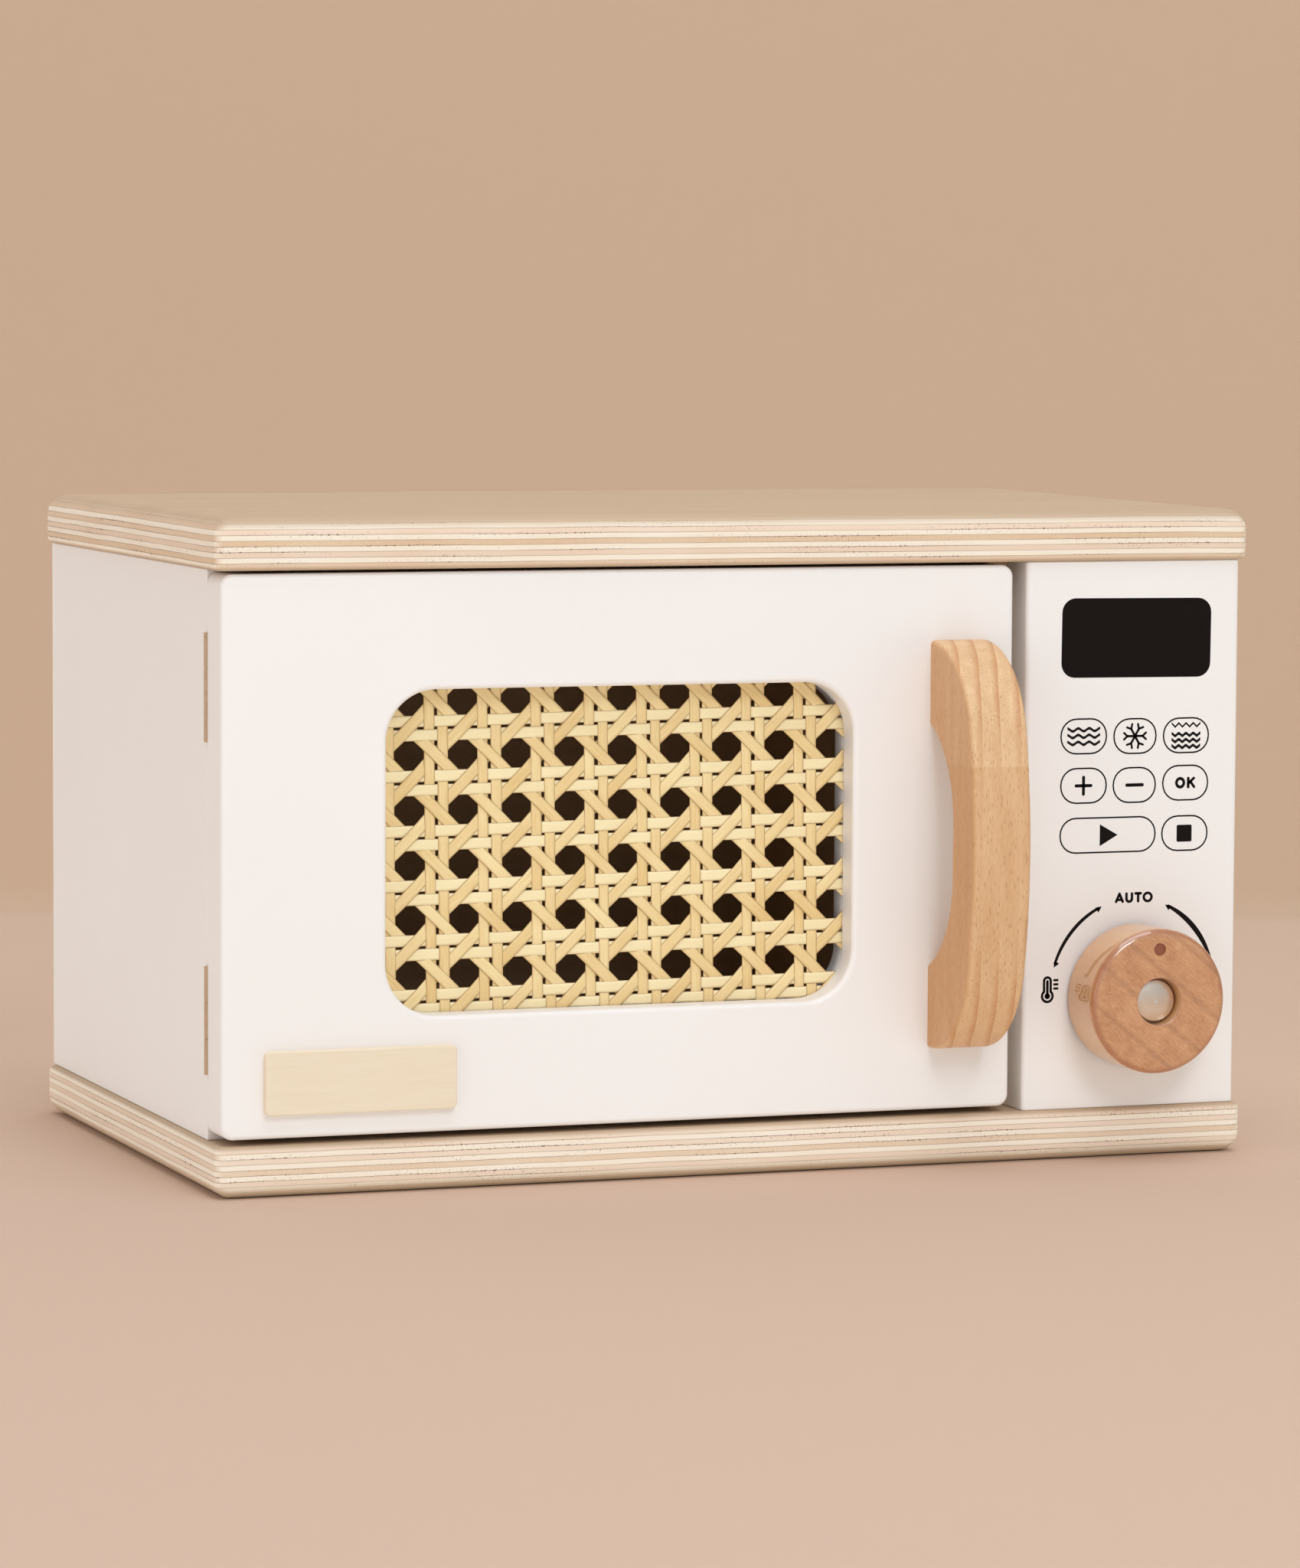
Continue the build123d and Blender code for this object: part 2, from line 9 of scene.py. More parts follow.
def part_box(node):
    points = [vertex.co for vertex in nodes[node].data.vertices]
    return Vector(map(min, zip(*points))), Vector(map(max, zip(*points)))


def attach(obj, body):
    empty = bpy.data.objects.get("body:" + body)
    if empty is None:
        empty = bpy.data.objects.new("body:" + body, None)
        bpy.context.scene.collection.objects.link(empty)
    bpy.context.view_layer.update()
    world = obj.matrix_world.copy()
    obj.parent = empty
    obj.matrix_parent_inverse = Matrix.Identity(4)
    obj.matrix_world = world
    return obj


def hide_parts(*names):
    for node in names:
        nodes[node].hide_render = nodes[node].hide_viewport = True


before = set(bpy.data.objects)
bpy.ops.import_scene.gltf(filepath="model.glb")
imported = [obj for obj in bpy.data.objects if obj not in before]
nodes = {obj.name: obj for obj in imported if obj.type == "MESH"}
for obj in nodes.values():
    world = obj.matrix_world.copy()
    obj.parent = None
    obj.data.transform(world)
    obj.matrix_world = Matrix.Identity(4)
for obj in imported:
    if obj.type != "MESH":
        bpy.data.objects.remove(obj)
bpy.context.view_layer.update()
mm = 0.001
print("frame loaded")

# Small helpers for colours, shader nodes and materials


def linear(hexCode):
    # sRGB hex to the linear colour that a shader takes
    channels = [int(hexCode[i:i + 2], 16) / 255 for i in (1, 3, 5)]
    return [c / 12.92 if c <= 0.04045 else ((c + 0.055) / 1.055) ** 2.4 for c in channels] + [1.0]


def addNode(tree, kind, inputs=None, stops=None, **settings):
    # one shader node with its settings; an input is a number, a hex colour, or a node or socket to link from
    node = tree.nodes.new("ShaderNode" + kind)
    for key, value in settings.items():
        setattr(node, key, value)
    for key, value in (inputs or {}).items():
        shown = [s for s in node.inputs if s.enabled]
        socket = shown[key] if isinstance(key, int) else next(s for s in shown if s.name == key)
        if isinstance(value, bpy.types.Node):
            value = next(s for s in value.outputs if s.enabled)
        if isinstance(value, bpy.types.NodeSocket):
            tree.links.new(value, socket)
        else:
            socket.default_value = linear(value) if isinstance(value, str) else value
    for position, hexCode in stops or []:
        elements = node.color_ramp.elements
        element = elements.new(position)
        element.color = linear(hexCode)
    if stops:
        node.color_ramp.elements.remove(node.color_ramp.elements[-1])
        node.color_ramp.elements.remove(node.color_ramp.elements[0])
    return node


def startMaterial(name, **shader):
    # material with a Principled shader, whose plain values are set on its own sockets
    material = bpy.data.materials.new(name)
    material.use_nodes = True
    tree = material.node_tree
    tree.nodes.clear()
    surface = addNode(tree, "BsdfPrincipled", shader)
    addNode(tree, "OutputMaterial", {"Surface": surface})
    where = addNode(tree, "TexCoord")
    return material, tree, surface, where


def sized(size):
    # a pattern's scale from the real size of its features in millimetres
    return 1 / (size * mm)


def linkFinish(tree, surface, colour, pattern=None, roughness=None, height=None, depth=0.0):
    # links a finish to its shader: its colour, a roughness that a pattern runs between two values, and a
    # relief with its depth in millimetres
    tree.links.new(next(s for s in colour.outputs if s.enabled), surface.inputs["Base Color"])
    if pattern:
        gloss = addNode(tree, "MapRange", {"Value": pattern, "To Min": roughness[0], "To Max": roughness[1]})
        tree.links.new(gloss.outputs[0], surface.inputs["Roughness"])
    if height:
        relief = addNode(tree, "Bump", {"Height": height, "Distance": depth * mm})
        tree.links.new(relief.outputs[0], surface.inputs["Normal"])


def useMaterial(material, *names):
    # a CAD node keeps its mesh and gets the finish in its own slot
    for name in names:
        mesh = nodes[name].data
        mesh.materials.clear()
        mesh.materials.append(material)


def addPiece(shape, name, material, body):
    # a finished shape becomes an object at the origin that rides on a body
    bmesh.ops.recalc_face_normals(shape, faces=shape.faces)
    mesh = bpy.data.meshes.new(name)
    shape.to_mesh(mesh)
    shape.free()
    mesh.materials.append(material)
    piece = bpy.data.objects.new(name, mesh)
    bpy.context.scene.collection.objects.link(piece)
    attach(piece, body)
    return piece


# White paint on MDF

paint = {
    "white": "#F5F0EC",
    "whiteWorn": "#F1EAE4",
    "shadeSize": 90.0,
    "roughness": 0.45,
    "orangePeelSize": 1.3,
    "orangePeelDepth": 0.012,
}
bareBoard = {
    "colours": ("#E8C6A2", "#DAB78F"),
    "fleckSize": 0.9,
    "fibreDepth": 0.03,
    "roughness": 0.75,
    "roughnessInside": (0.7, 0.85),
}


def addBoard(tree, spot):
    # raw MDF, tan, with fibres drawn coarser than they are so that they show; gives back the fibres' pattern
    # and the colour
    fleckScale = sized(bareBoard["fleckSize"])
    flecks = addNode(tree, "TexNoise", {"Vector": spot, "Scale": fleckScale, "Detail": 4.0})
    pale, dark = bareBoard["colours"]
    return flecks, addNode(tree, "Mix", {0: flecks, 1: pale, 2: dark}, data_type="RGBA")


def makePaint(name, bareTurn):
    # Satin acrylic sprayed on MDF: even and pale, with a faint orange peel that softens the highlights. The
    # face turned to the inside is bare board, tan with fine fibres; bareTurn is the outward direction of
    # that face, and a board that is painted all round has none.
    material, tree, surface, where = startMaterial(name, IOR=1.47)
    spot = where.outputs["Object"]
    broad = addNode(tree, "TexNoise", {"Vector": spot, "Scale": sized(paint["shadeSize"]), "Detail": 2.0})
    sprayed = addNode(tree, "Mix", {0: broad, 1: paint["white"], 2: paint["whiteWorn"]}, data_type="RGBA")
    flecks, board = addBoard(tree, spot)
    peel = addNode(tree, "TexNoise", {"Vector": spot, "Scale": sized(paint["orangePeelSize"]), "Detail": 1.0})
    turned = addNode(tree, "VectorMath", {0: where.outputs["Normal"], 1: bareTurn}, operation="DOT_PRODUCT")
    bare = addNode(tree, "Math", {0: turned.outputs["Value"], 1: 0.7}, operation="GREATER_THAN")
    shown = addNode(tree, "Mix", {0: bare, 1: sprayed, 2: board}, data_type="RGBA")
    roughness = (paint["roughness"], bareBoard["roughness"])
    relief = addNode(tree, "Mix", {0: bare, 1: peel, 2: flecks})
    linkFinish(tree, surface, shown, bare, roughness, relief, paint["orangePeelDepth"])
    return material


def makeBareBoard():
    # Raw MDF inside the oven: tan, matt and fibrous.
    material, tree, surface, where = startMaterial("rawMdf", IOR=1.5)
    flecks, board = addBoard(tree, where.outputs["Object"])
    linkFinish(tree, surface, board, flecks, bareBoard["roughnessInside"], flecks, bareBoard["fibreDepth"])
    return material


useMaterial(makePaint("sprayedWhiteBareRight", (1, 0, 0)), "left_side_panel")
useMaterial(makePaint("sprayedWhiteBareLeft", (-1, 0, 0)), "right_side_panel")
useMaterial(makePaint("sprayedWhiteBareFront", (0, -1, 0)), "back_panel")
useMaterial(makePaint("sprayedWhiteBareBack", (0, 1, 0)), "control_panel")
useMaterial(makePaint("sprayedWhite", (0, 0, 0)), "door_panel", "cane_retainer_frame")
useMaterial(makeBareBoard(), "divider_panel")

# Birch plywood: its edges show the plies, its faces the rotary-cut veneer

plywood = {
    "plyPitch": 1.58,
    "faceVeneer": 0.39,
    "glueLine": 0.32,
    "waviness": 0.16,
    "longGrain": ("#F8ECDA", "#F0DEC5"),
    "endGrain": ("#E6CCB0", "#D8B68F"),
    "pinkPly": "#ECD4BF",
    "paintedLight": "#FFF4E4",
    "paintedLightShare": {"base_board": 0.2, "top_board": 0.0},
    "face": ("#C9AF91", "#BCA184"),
    "glue": "#7E563A",
    "speck": "#5F3B25",
    "waveLength": 45.0,
    "streakWidth": 0.5,
    "poreSize": 0.55,
    "poreDepth": 0.03,
    "speckSize": 0.7,
    "glueGapSize": 1.6,
    "patchSize": 30.0,
    "patchShare": 0.18,
    "flameWidth": 9.0,
    "flameStretch": (0.08, 1.0, 1.0),
    "grainStretch": (0.03, 0.03, 1.0),
    "cornerBlend": 0.6,
    "veneerFrom": 0.35,
    "veneerTo": 0.8,
    "roughness": (0.48, 0.68),
}


def makePlywood(name, node):
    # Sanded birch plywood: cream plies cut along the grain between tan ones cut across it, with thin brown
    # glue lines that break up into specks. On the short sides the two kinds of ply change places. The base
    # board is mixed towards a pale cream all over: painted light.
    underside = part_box(node)[0][2]
    material, tree, surface, where = startMaterial(name, IOR=1.5)
    spot = where.outputs["Object"]
    parts = addNode(tree, "SeparateXYZ", {0: spot})
    facing = addNode(tree, "SeparateXYZ", {0: where.outputs["Normal"]})
    drift = addNode(tree, "TexNoise", {"Vector": spot, "Scale": sized(plywood["waveLength"]), "Detail": 3.0})
    wobble = addNode(tree, "MapRange", {
        "Value": drift, "From Min": 0.3, "From Max": 0.7,
        "To Min": -plywood["waviness"] * mm, "To Max": plywood["waviness"] * mm,
    })
    raised = addNode(tree, "Math", {0: parts.outputs[2], 1: wobble}, operation="ADD")
    start = underside + plywood["faceVeneer"] * mm
    layer = addNode(tree, "MapRange", {
        "Value": raised, "From Min": start, "From Max": start + plywood["plyPitch"] * mm,
    }, clamp=False)
    index = addNode(tree, "Math", {0: layer}, operation="FLOOR")
    parity = addNode(tree, "Math", {0: index, 1: 2.0}, operation="FLOORED_MODULO")
    # on the short sides, where the surface faces along X, the plies swap, softly round the corner
    sideways = addNode(tree, "Math", {0: facing.outputs[0]}, operation="ABSOLUTE")
    frontways = addNode(tree, "Math", {0: facing.outputs[1]}, operation="ABSOLUTE")
    lead = addNode(tree, "Math", {0: sideways, 1: frontways}, operation="SUBTRACT")
    short = addNode(tree, "MapRange", {
        "Value": lead, "From Min": -plywood["cornerBlend"], "From Max": plywood["cornerBlend"],
    })
    swapped = addNode(tree, "Math", {0: parity, 1: short}, operation="SUBTRACT")
    alongGrain = addNode(tree, "Math", {0: swapped}, operation="ABSOLUTE")
    # streaks along the board, and pores where the ply is cut across, coarser than real ones so that they show
    stretched = addNode(tree, "Mapping", {"Vector": spot, "Scale": plywood["grainStretch"]})
    streaks = addNode(tree, "TexNoise", {
        "Vector": stretched, "Scale": sized(plywood["streakWidth"]), "Detail": 4.0,
    })
    pores = addNode(tree, "TexNoise", {"Vector": spot, "Scale": sized(plywood["poreSize"]), "Detail": 3.0})
    # each ply has its own tone
    chance = addNode(tree, "TexWhiteNoise", {"W": index}, noise_dimensions="1D")
    tone = addNode(tree, "TexNoise", {"Vector": spot, "Scale": sized(plywood["patchSize"]), "Detail": 4.0})
    longPly = addNode(tree, "Mix", {
        0: streaks, 1: plywood["longGrain"][0], 2: plywood["longGrain"][1],
    }, data_type="RGBA")
    porous = addNode(tree, "Mix", {
        0: pores, 1: plywood["endGrain"][0], 2: plywood["endGrain"][1],
    }, data_type="RGBA")
    paler = addNode(tree, "MapRange", {"Value": chance, "From Min": 0.35, "To Max": 0.85})
    endPly = addNode(tree, "Mix", {0: paler, 1: porous, 2: plywood["pinkPly"]}, data_type="RGBA")
    plies = addNode(tree, "Mix", {0: alongGrain, 1: endPly, 2: longPly}, data_type="RGBA")
    toned = addNode(tree, "Mix", {
        0: plywood["patchShare"], 1: plies, 2: tone,
    }, data_type="RGBA", blend_type="OVERLAY")
    # the base board is mixed towards a pale cream: painted light that brightens it all over
    mottled = addNode(tree, "Mix", {
        0: plywood["paintedLightShare"][node], 1: toned, 2: plywood["paintedLight"],
    }, data_type="RGBA")
    # glue lines at the ply joints, broken up along their length
    nearJoint = addNode(tree, "Math", {0: layer, 1: 0.5}, operation="PINGPONG")
    breaks = addNode(tree, "TexNoise", {
        "Vector": stretched, "Scale": sized(plywood["glueGapSize"]), "Detail": 5.0,
    })
    lineWidth = plywood["glueLine"] / plywood["plyPitch"]
    line = addNode(tree, "MapRange", {
        "Value": nearJoint, "From Max": lineWidth / 2, "To Min": 1.0, "To Max": 0.0,
    })
    patchy = addNode(tree, "MapRange", {"Value": breaks, "From Min": 0.38, "From Max": 0.68, "To Min": 0.4})
    glued = addNode(tree, "Math", {0: line, 1: patchy}, operation="MULTIPLY")
    lined = addNode(tree, "Mix", {0: glued, 1: mottled, 2: plywood["glue"]}, data_type="RGBA")
    # dark specks along the joints, where the veneers left small holes
    flecks = addNode(tree, "TexNoise", {"Vector": spot, "Scale": sized(plywood["speckSize"]), "Detail": 2.0})
    holes = addNode(tree, "MapRange", {"Value": flecks, "From Min": 0.57, "From Max": 0.66})
    close = addNode(tree, "MapRange", {
        "Value": nearJoint, "From Min": 0.07, "From Max": 0.15, "To Min": 1.0, "To Max": 0.25,
    })
    rows = addNode(tree, "MapRange", {"Value": breaks, "From Min": 0.5, "From Max": 0.6})
    speckled = addNode(tree, "Math", {0: holes, 1: close}, operation="MULTIPLY")
    speckShare = addNode(tree, "Math", {0: speckled, 1: rows}, operation="MULTIPLY")
    edge = addNode(tree, "Mix", {0: speckShare, 1: lined, 2: plywood["speck"]}, data_type="RGBA")
    # the broad faces show the outer veneer, its tan partly the veneer's own colour and partly a painted
    # reflection of the tan wall seen at grazing angles
    flame = addNode(tree, "Mapping", {"Vector": spot, "Scale": plywood["flameStretch"]})
    figure = addNode(tree, "TexNoise", {
        "Vector": flame, "Scale": sized(plywood["flameWidth"]), "Detail": 5.0, "Distortion": 0.6,
    })
    veneer = addNode(tree, "Mix", {0: figure, 1: plywood["face"][0], 2: plywood["face"][1]}, data_type="RGBA")
    upright = addNode(tree, "Math", {0: facing.outputs[2]}, operation="ABSOLUTE")
    flat = addNode(tree, "MapRange", {
        "Value": upright, "From Min": plywood["veneerFrom"], "From Max": plywood["veneerTo"],
    })
    seen = addNode(tree, "Mix", {0: flat, 1: edge, 2: veneer}, data_type="RGBA")
    relief = addNode(tree, "Math", {0: pores, 1: glued}, operation="SUBTRACT")
    linkFinish(tree, surface, seen, pores, plywood["roughness"], relief, plywood["poreDepth"])
    return material


useMaterial(makePlywood("sandedBirchPlyBase", "base_board"), "base_board")
useMaterial(makePlywood("sandedBirchPlyTop", "top_board"), "top_board")

# Beech: the bowed handle

handleWood = {
    "colours": ("#E6C093", "#D8AB7D"),
    "cheek": "#B4753D",
    "cheekShadeShare": 0.36,
    "ring": "#BF7F48",
    "ringSpacing": 5.8,
    "ringLean": -0.28,
    "ringBend": 4.0,
    "bendSize": 22.0,
    "lateFrom": 0.62,
    "ringsFrom": 22.0,
    "ringsTo": 44.0,
    "ringShares": (0.12, 0.75),
    "fleck": "#9A5F34",
    "fleckSize": 0.68,
    "fleckShare": 0.7,
    "glueJoint": 120.2,
    "lowerShare": 0.22,
    "figureSize": 3.5,
    "grainStretch": (1.0, 1.0, 0.12),
    "fleckStretch": (1.0, 1.0, 0.16),
    "poreSize": 0.35,
    "poreDepth": 0.03,
    "roughness": (0.42, 0.6),
}


def makeHandleBeech():
    # Oiled beech, glued up from two lengths: warm and even, with short dark flecks along the grain and
    # darker growth rings that come out where the bow is cut across them.
    material, tree, surface, where = startMaterial("oiledBeechHandle", IOR=1.5)
    spot = where.outputs["Object"]
    parts = addNode(tree, "SeparateXYZ", {0: spot})
    low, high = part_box("handle")
    middle = (low[2] + high[2]) / 2
    along = addNode(tree, "Mapping", {"Vector": spot, "Scale": handleWood["grainStretch"]})
    figure = addNode(tree, "TexNoise", {
        "Vector": along, "Scale": sized(handleWood["figureSize"]), "Detail": 5.0,
    })
    # the pores of beech are too fine to show, so they are drawn coarser
    fine = addNode(tree, "TexNoise", {"Vector": along, "Scale": sized(handleWood["poreSize"]), "Detail": 2.0})
    grain = addNode(tree, "Math", {0: figure, 1: fine}, operation="ADD")
    spread = addNode(tree, "MapRange", {"Value": grain, "From Min": 0.75, "From Max": 1.25})
    pale, dark = handleWood["colours"]
    wood = addNode(tree, "Mix", {0: spread, 1: pale, 2: dark}, data_type="RGBA")
    # rings: upright planes that lean a little, cut across by the bow at both ends
    leaning = addNode(tree, "Math", {
        0: parts.outputs[1], 1: handleWood["ringLean"], 2: parts.outputs[0],
    }, operation="MULTIPLY_ADD")
    bend = addNode(tree, "TexNoise", {"Vector": along, "Scale": sized(handleWood["bendSize"]), "Detail": 1.0})
    bent = addNode(tree, "Math", {
        0: bend, 1: handleWood["ringBend"] * mm, 2: leaning,
    }, operation="MULTIPLY_ADD")
    spacing = handleWood["ringSpacing"] * mm
    rings = addNode(tree, "Math", {0: bent, 1: spacing}, operation="FLOORED_MODULO")
    late = addNode(tree, "MapRange", {
        "Value": rings, "From Min": spacing * handleWood["lateFrom"], "From Max": spacing,
    })
    away = addNode(tree, "Math", {0: parts.outputs[2], 1: middle}, operation="SUBTRACT")
    far = addNode(tree, "Math", {0: away}, operation="ABSOLUTE")
    faint, strong = handleWood["ringShares"]
    atEnds = addNode(tree, "MapRange", {
        "Value": far, "From Min": handleWood["ringsFrom"] * mm, "From Max": handleWood["ringsTo"] * mm,
        "To Min": faint, "To Max": strong,
    })
    facing = addNode(tree, "SeparateXYZ", {0: where.outputs["Normal"]})
    cheek = addNode(tree, "Math", {0: facing.outputs[0]}, operation="ABSOLUTE")
    acrossRings = addNode(tree, "MapRange", {"Value": cheek, "From Min": 0.5, "To Min": 1.0, "To Max": 0.0})
    ringDepth = addNode(tree, "Math", {0: late, 1: atEnds}, operation="MULTIPLY")
    ringShare = addNode(tree, "Math", {0: ringDepth, 1: acrossRings}, operation="MULTIPLY")
    ringed = addNode(tree, "Mix", {0: ringShare, 1: wood, 2: handleWood["ring"]}, data_type="RGBA")
    # flecks: medullary rays, about 1.4 mm long and 0.2 mm wide
    dash = addNode(tree, "Mapping", {"Vector": spot, "Scale": handleWood["fleckStretch"]})
    cells = addNode(tree, "TexVoronoi", {"Vector": dash, "Scale": sized(handleWood["fleckSize"])})
    fleck = addNode(tree, "MapRange", {
        "Value": cells.outputs["Distance"], "From Min": 0.08, "From Max": 0.25,
        "To Min": handleWood["fleckShare"], "To Max": 0.0,
    })
    flecked = addNode(tree, "Mix", {0: fleck, 1: ringed, 2: handleWood["fleck"]}, data_type="RGBA")
    # the lower length is a little darker than the upper one, and the cheeks, the faces turned to the sides,
    # are painted darker and more orange: painted shade
    joint = handleWood["glueJoint"] * mm
    lower = addNode(tree, "Math", {0: parts.outputs[2], 1: joint}, operation="LESS_THAN")
    share = addNode(tree, "Math", {0: lower, 1: handleWood["lowerShare"]}, operation="MULTIPLY")
    jointed = addNode(tree, "Mix", {0: share, 1: flecked, 2: handleWood["ring"]}, data_type="RGBA")
    cheekShadeShare = addNode(tree, "MapRange", {
        "Value": cheek, "From Min": 0.4, "To Max": handleWood["cheekShadeShare"],
    })
    shadedCheeks = addNode(tree, "Mix", {0: cheekShadeShare, 1: jointed, 2: handleWood["cheek"]}, data_type="RGBA")
    relief = addNode(tree, "Math", {0: fine, 1: fleck}, operation="SUBTRACT")
    linkFinish(tree, surface, shadedCheeks, fine, handleWood["roughness"], relief, handleWood["poreDepth"])
    return material


useMaterial(makeHandleBeech(), "handle")

# Beech: the dowels

dowelWood = {
    "colours": ("#E6C093", "#D8AB7D"),
    "streakWidth": 0.8,
    "grainStretch": (1.0, 1.0, 0.1),
    "grainDepth": 0.03,
    "roughness": (0.5, 0.7),
}


def makeDowelBeech():
    # Beech dowel rod: pale, with fine streaks along the rod.
    material, tree, surface, where = startMaterial("beechDowelRod", IOR=1.5)
    spot = where.outputs["Object"]
    along = addNode(tree, "Mapping", {"Vector": spot, "Scale": dowelWood["grainStretch"]})
    streaks = addNode(tree, "TexNoise", {
        "Vector": along, "Scale": sized(dowelWood["streakWidth"]), "Detail": 3.0,
    })
    pale, dark = dowelWood["colours"]
    wood = addNode(tree, "Mix", {0: streaks, 1: pale, 2: dark}, data_type="RGBA")
    linkFinish(tree, surface, wood, streaks, dowelWood["roughness"], streaks, dowelWood["grainDepth"])
    return material


useMaterial(makeDowelBeech(), "base_dowels", "top_dowels")

# Beech: the turned knob

knobWood = {
    "colours": ("#D29A6B", "#B67A4D"),
    "side": "#DFAB73",
    "sideAndSheenShare": 0.72,
    "rim": "#A76742",
    "rimShare": 0.65,
    "ring": "#8A5537",
    "ringShare": 0.3,
    "ringSize": 31.0,
    "grainTurn": 38,
    "grainStretch": (0.22, 1.0, 1.0),
    "blotchSize": 7.0,
    "poreSize": 0.45,
    "poreDepth": 0.02,
    "fleckSize": 0.9,
    "fleckShare": 0.4,
    "pointer": "#8C421F",
    "pointerSize": 3.8,
    "pointerRise": 15.5,
    "roughness": (0.36, 0.52),
    "lacquer": {"Coat Weight": 0.9, "Coat Roughness": 0.05, "Coat IOR": 1.8},
}


def makeKnobBeech():
    # Turned beech under a glossy lacquer: pinker, with blotches, fine flecks and faint slanting rings; the
    # pointer's dimple is stained. The pores are drawn coarser than they are.
    material, tree, surface, where = startMaterial("lacqueredBeechKnob", IOR=1.5, **knobWood["lacquer"])
    spot = where.outputs["Object"]
    low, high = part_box("knob")
    blotch = addNode(tree, "TexNoise", {
        "Vector": spot, "Scale": sized(knobWood["blotchSize"]), "Detail": 8.0, "Distortion": 0.8,
    })
    turned = addNode(tree, "Mapping", {
        "Vector": spot, "Rotation": (0.0, -math.radians(knobWood["grainTurn"]), 0.0),
    })
    slanted = addNode(tree, "Mapping", {"Vector": turned, "Scale": knobWood["grainStretch"]})
    fine = addNode(tree, "TexNoise", {"Vector": slanted, "Scale": sized(knobWood["poreSize"]), "Detail": 3.0})
    grain = addNode(tree, "Math", {0: blotch, 1: fine}, operation="ADD")
    spread = addNode(tree, "MapRange", {"Value": grain, "From Min": 0.72, "From Max": 1.28})
    pale, dark = knobWood["colours"]
    wood = addNode(tree, "Mix", {0: spread, 1: pale, 2: dark}, data_type="RGBA")
    rings = addNode(tree, "TexWave", {
        "Vector": slanted, "Scale": sized(knobWood["ringSize"]), "Distortion": 4.5, "Detail": 3.0,
        "Detail Scale": 0.6,
    }, wave_type="BANDS", bands_direction="Z")
    late = addNode(tree, "MapRange", {
        "Value": rings.outputs["Fac"], "From Min": 0.9, "To Max": knobWood["ringShare"],
    })
    ringed = addNode(tree, "Mix", {0: late, 1: wood, 2: knobWood["ring"]}, data_type="RGBA")
    cells = addNode(tree, "TexVoronoi", {"Vector": slanted, "Scale": sized(knobWood["fleckSize"])})
    fleck = addNode(tree, "MapRange", {
        "Value": cells.outputs["Distance"], "From Min": 0.06, "From Max": 0.2,
        "To Min": knobWood["fleckShare"], "To Max": 0.0,
    })
    flecked = addNode(tree, "Mix", {0: fleck, 1: ringed, 2: knobWood["ring"]}, data_type="RGBA")
    # the turned side is painted paler: partly its own side grain, partly a painted sheen of the lacquer seen
    # at grazing angles. The rolled rim between front and side is darker.
    facing = addNode(tree, "SeparateXYZ", {0: where.outputs["Normal"]})
    forward = addNode(tree, "Math", {0: facing.outputs[1]}, operation="ABSOLUTE")
    sideAndSheenShare = addNode(tree, "MapRange", {
        "Value": forward, "From Max": 0.35, "To Min": knobWood["sideAndSheenShare"], "To Max": 0.0,
    })
    sided = addNode(tree, "Mix", {0: sideAndSheenShare, 1: flecked, 2: knobWood["side"]}, data_type="RGBA")
    rimRise = addNode(tree, "MapRange", {"Value": forward, "From Min": 0.2, "From Max": 0.6})
    rimFall = addNode(tree, "MapRange", {
        "Value": forward, "From Min": 0.8, "From Max": 0.99,
        "To Min": knobWood["rimShare"], "To Max": 0.0,
    })
    rimShare = addNode(tree, "Math", {0: rimRise, 1: rimFall}, operation="MULTIPLY")
    rimmed = addNode(tree, "Mix", {0: rimShare, 1: sided, 2: knobWood["rim"]}, data_type="RGBA")
    # stain within the dimple, above the middle of the front
    dimple = Vector((
        (low[0] + high[0]) / 2, low[1], (low[2] + high[2]) / 2 + knobWood["pointerRise"] * mm,
    ))
    offset = addNode(tree, "Mapping", {"Vector": spot, "Location": -dimple})
    distance = addNode(tree, "VectorMath", {0: offset}, operation="LENGTH")
    inDimple = addNode(tree, "Math", {
        0: distance.outputs["Value"], 1: knobWood["pointerSize"] / 2 * mm,
    }, operation="LESS_THAN")
    stained = addNode(tree, "Mix", {0: inDimple, 1: rimmed, 2: knobWood["pointer"]}, data_type="RGBA")
    linkFinish(tree, surface, stained, fine, knobWood["roughness"], fine, knobWood["poreDepth"])
    return material


useMaterial(makeKnobBeech(), "knob")

# Plaque: a bare slip of birch

plaque = {
    "pale": "#F0E1C9",
    "grain": "#E7D3B5",
    "grainWidth": 0.9,
    "grainLength": 14.0,
    "grainDepth": 0.04,
    "roughness": (0.55, 0.75),
}


def makePlaqueBirch():
    # Sanded birch, unfinished: very pale and matt, with a faint straight grain along the slip.
    material, tree, surface, where = startMaterial("sandedBirchSlip", IOR=1.5)
    squeeze = plaque["grainWidth"] / plaque["grainLength"]
    along = addNode(tree, "Mapping", {"Vector": where.outputs["Object"], "Scale": (squeeze, 1.0, 1.0)})
    streaks = addNode(tree, "TexNoise", {
        "Vector": along, "Scale": sized(plaque["grainWidth"]), "Detail": 4.0,
    })
    wood = addNode(tree, "Mix", {0: streaks, 1: plaque["pale"], 2: plaque["grain"]}, data_type="RGBA")
    linkFinish(tree, surface, wood, streaks, plaque["roughness"], streaks, plaque["grainDepth"])
    return material


useMaterial(makePlaqueBirch(), "plaque")

# Metals. Tumbled nickel gives the bolt soft, warm reflections. Pale dull brass makes the hinge knuckles a
# faint line in the seam. The screws are bright zinc, the magnets polished nickel.

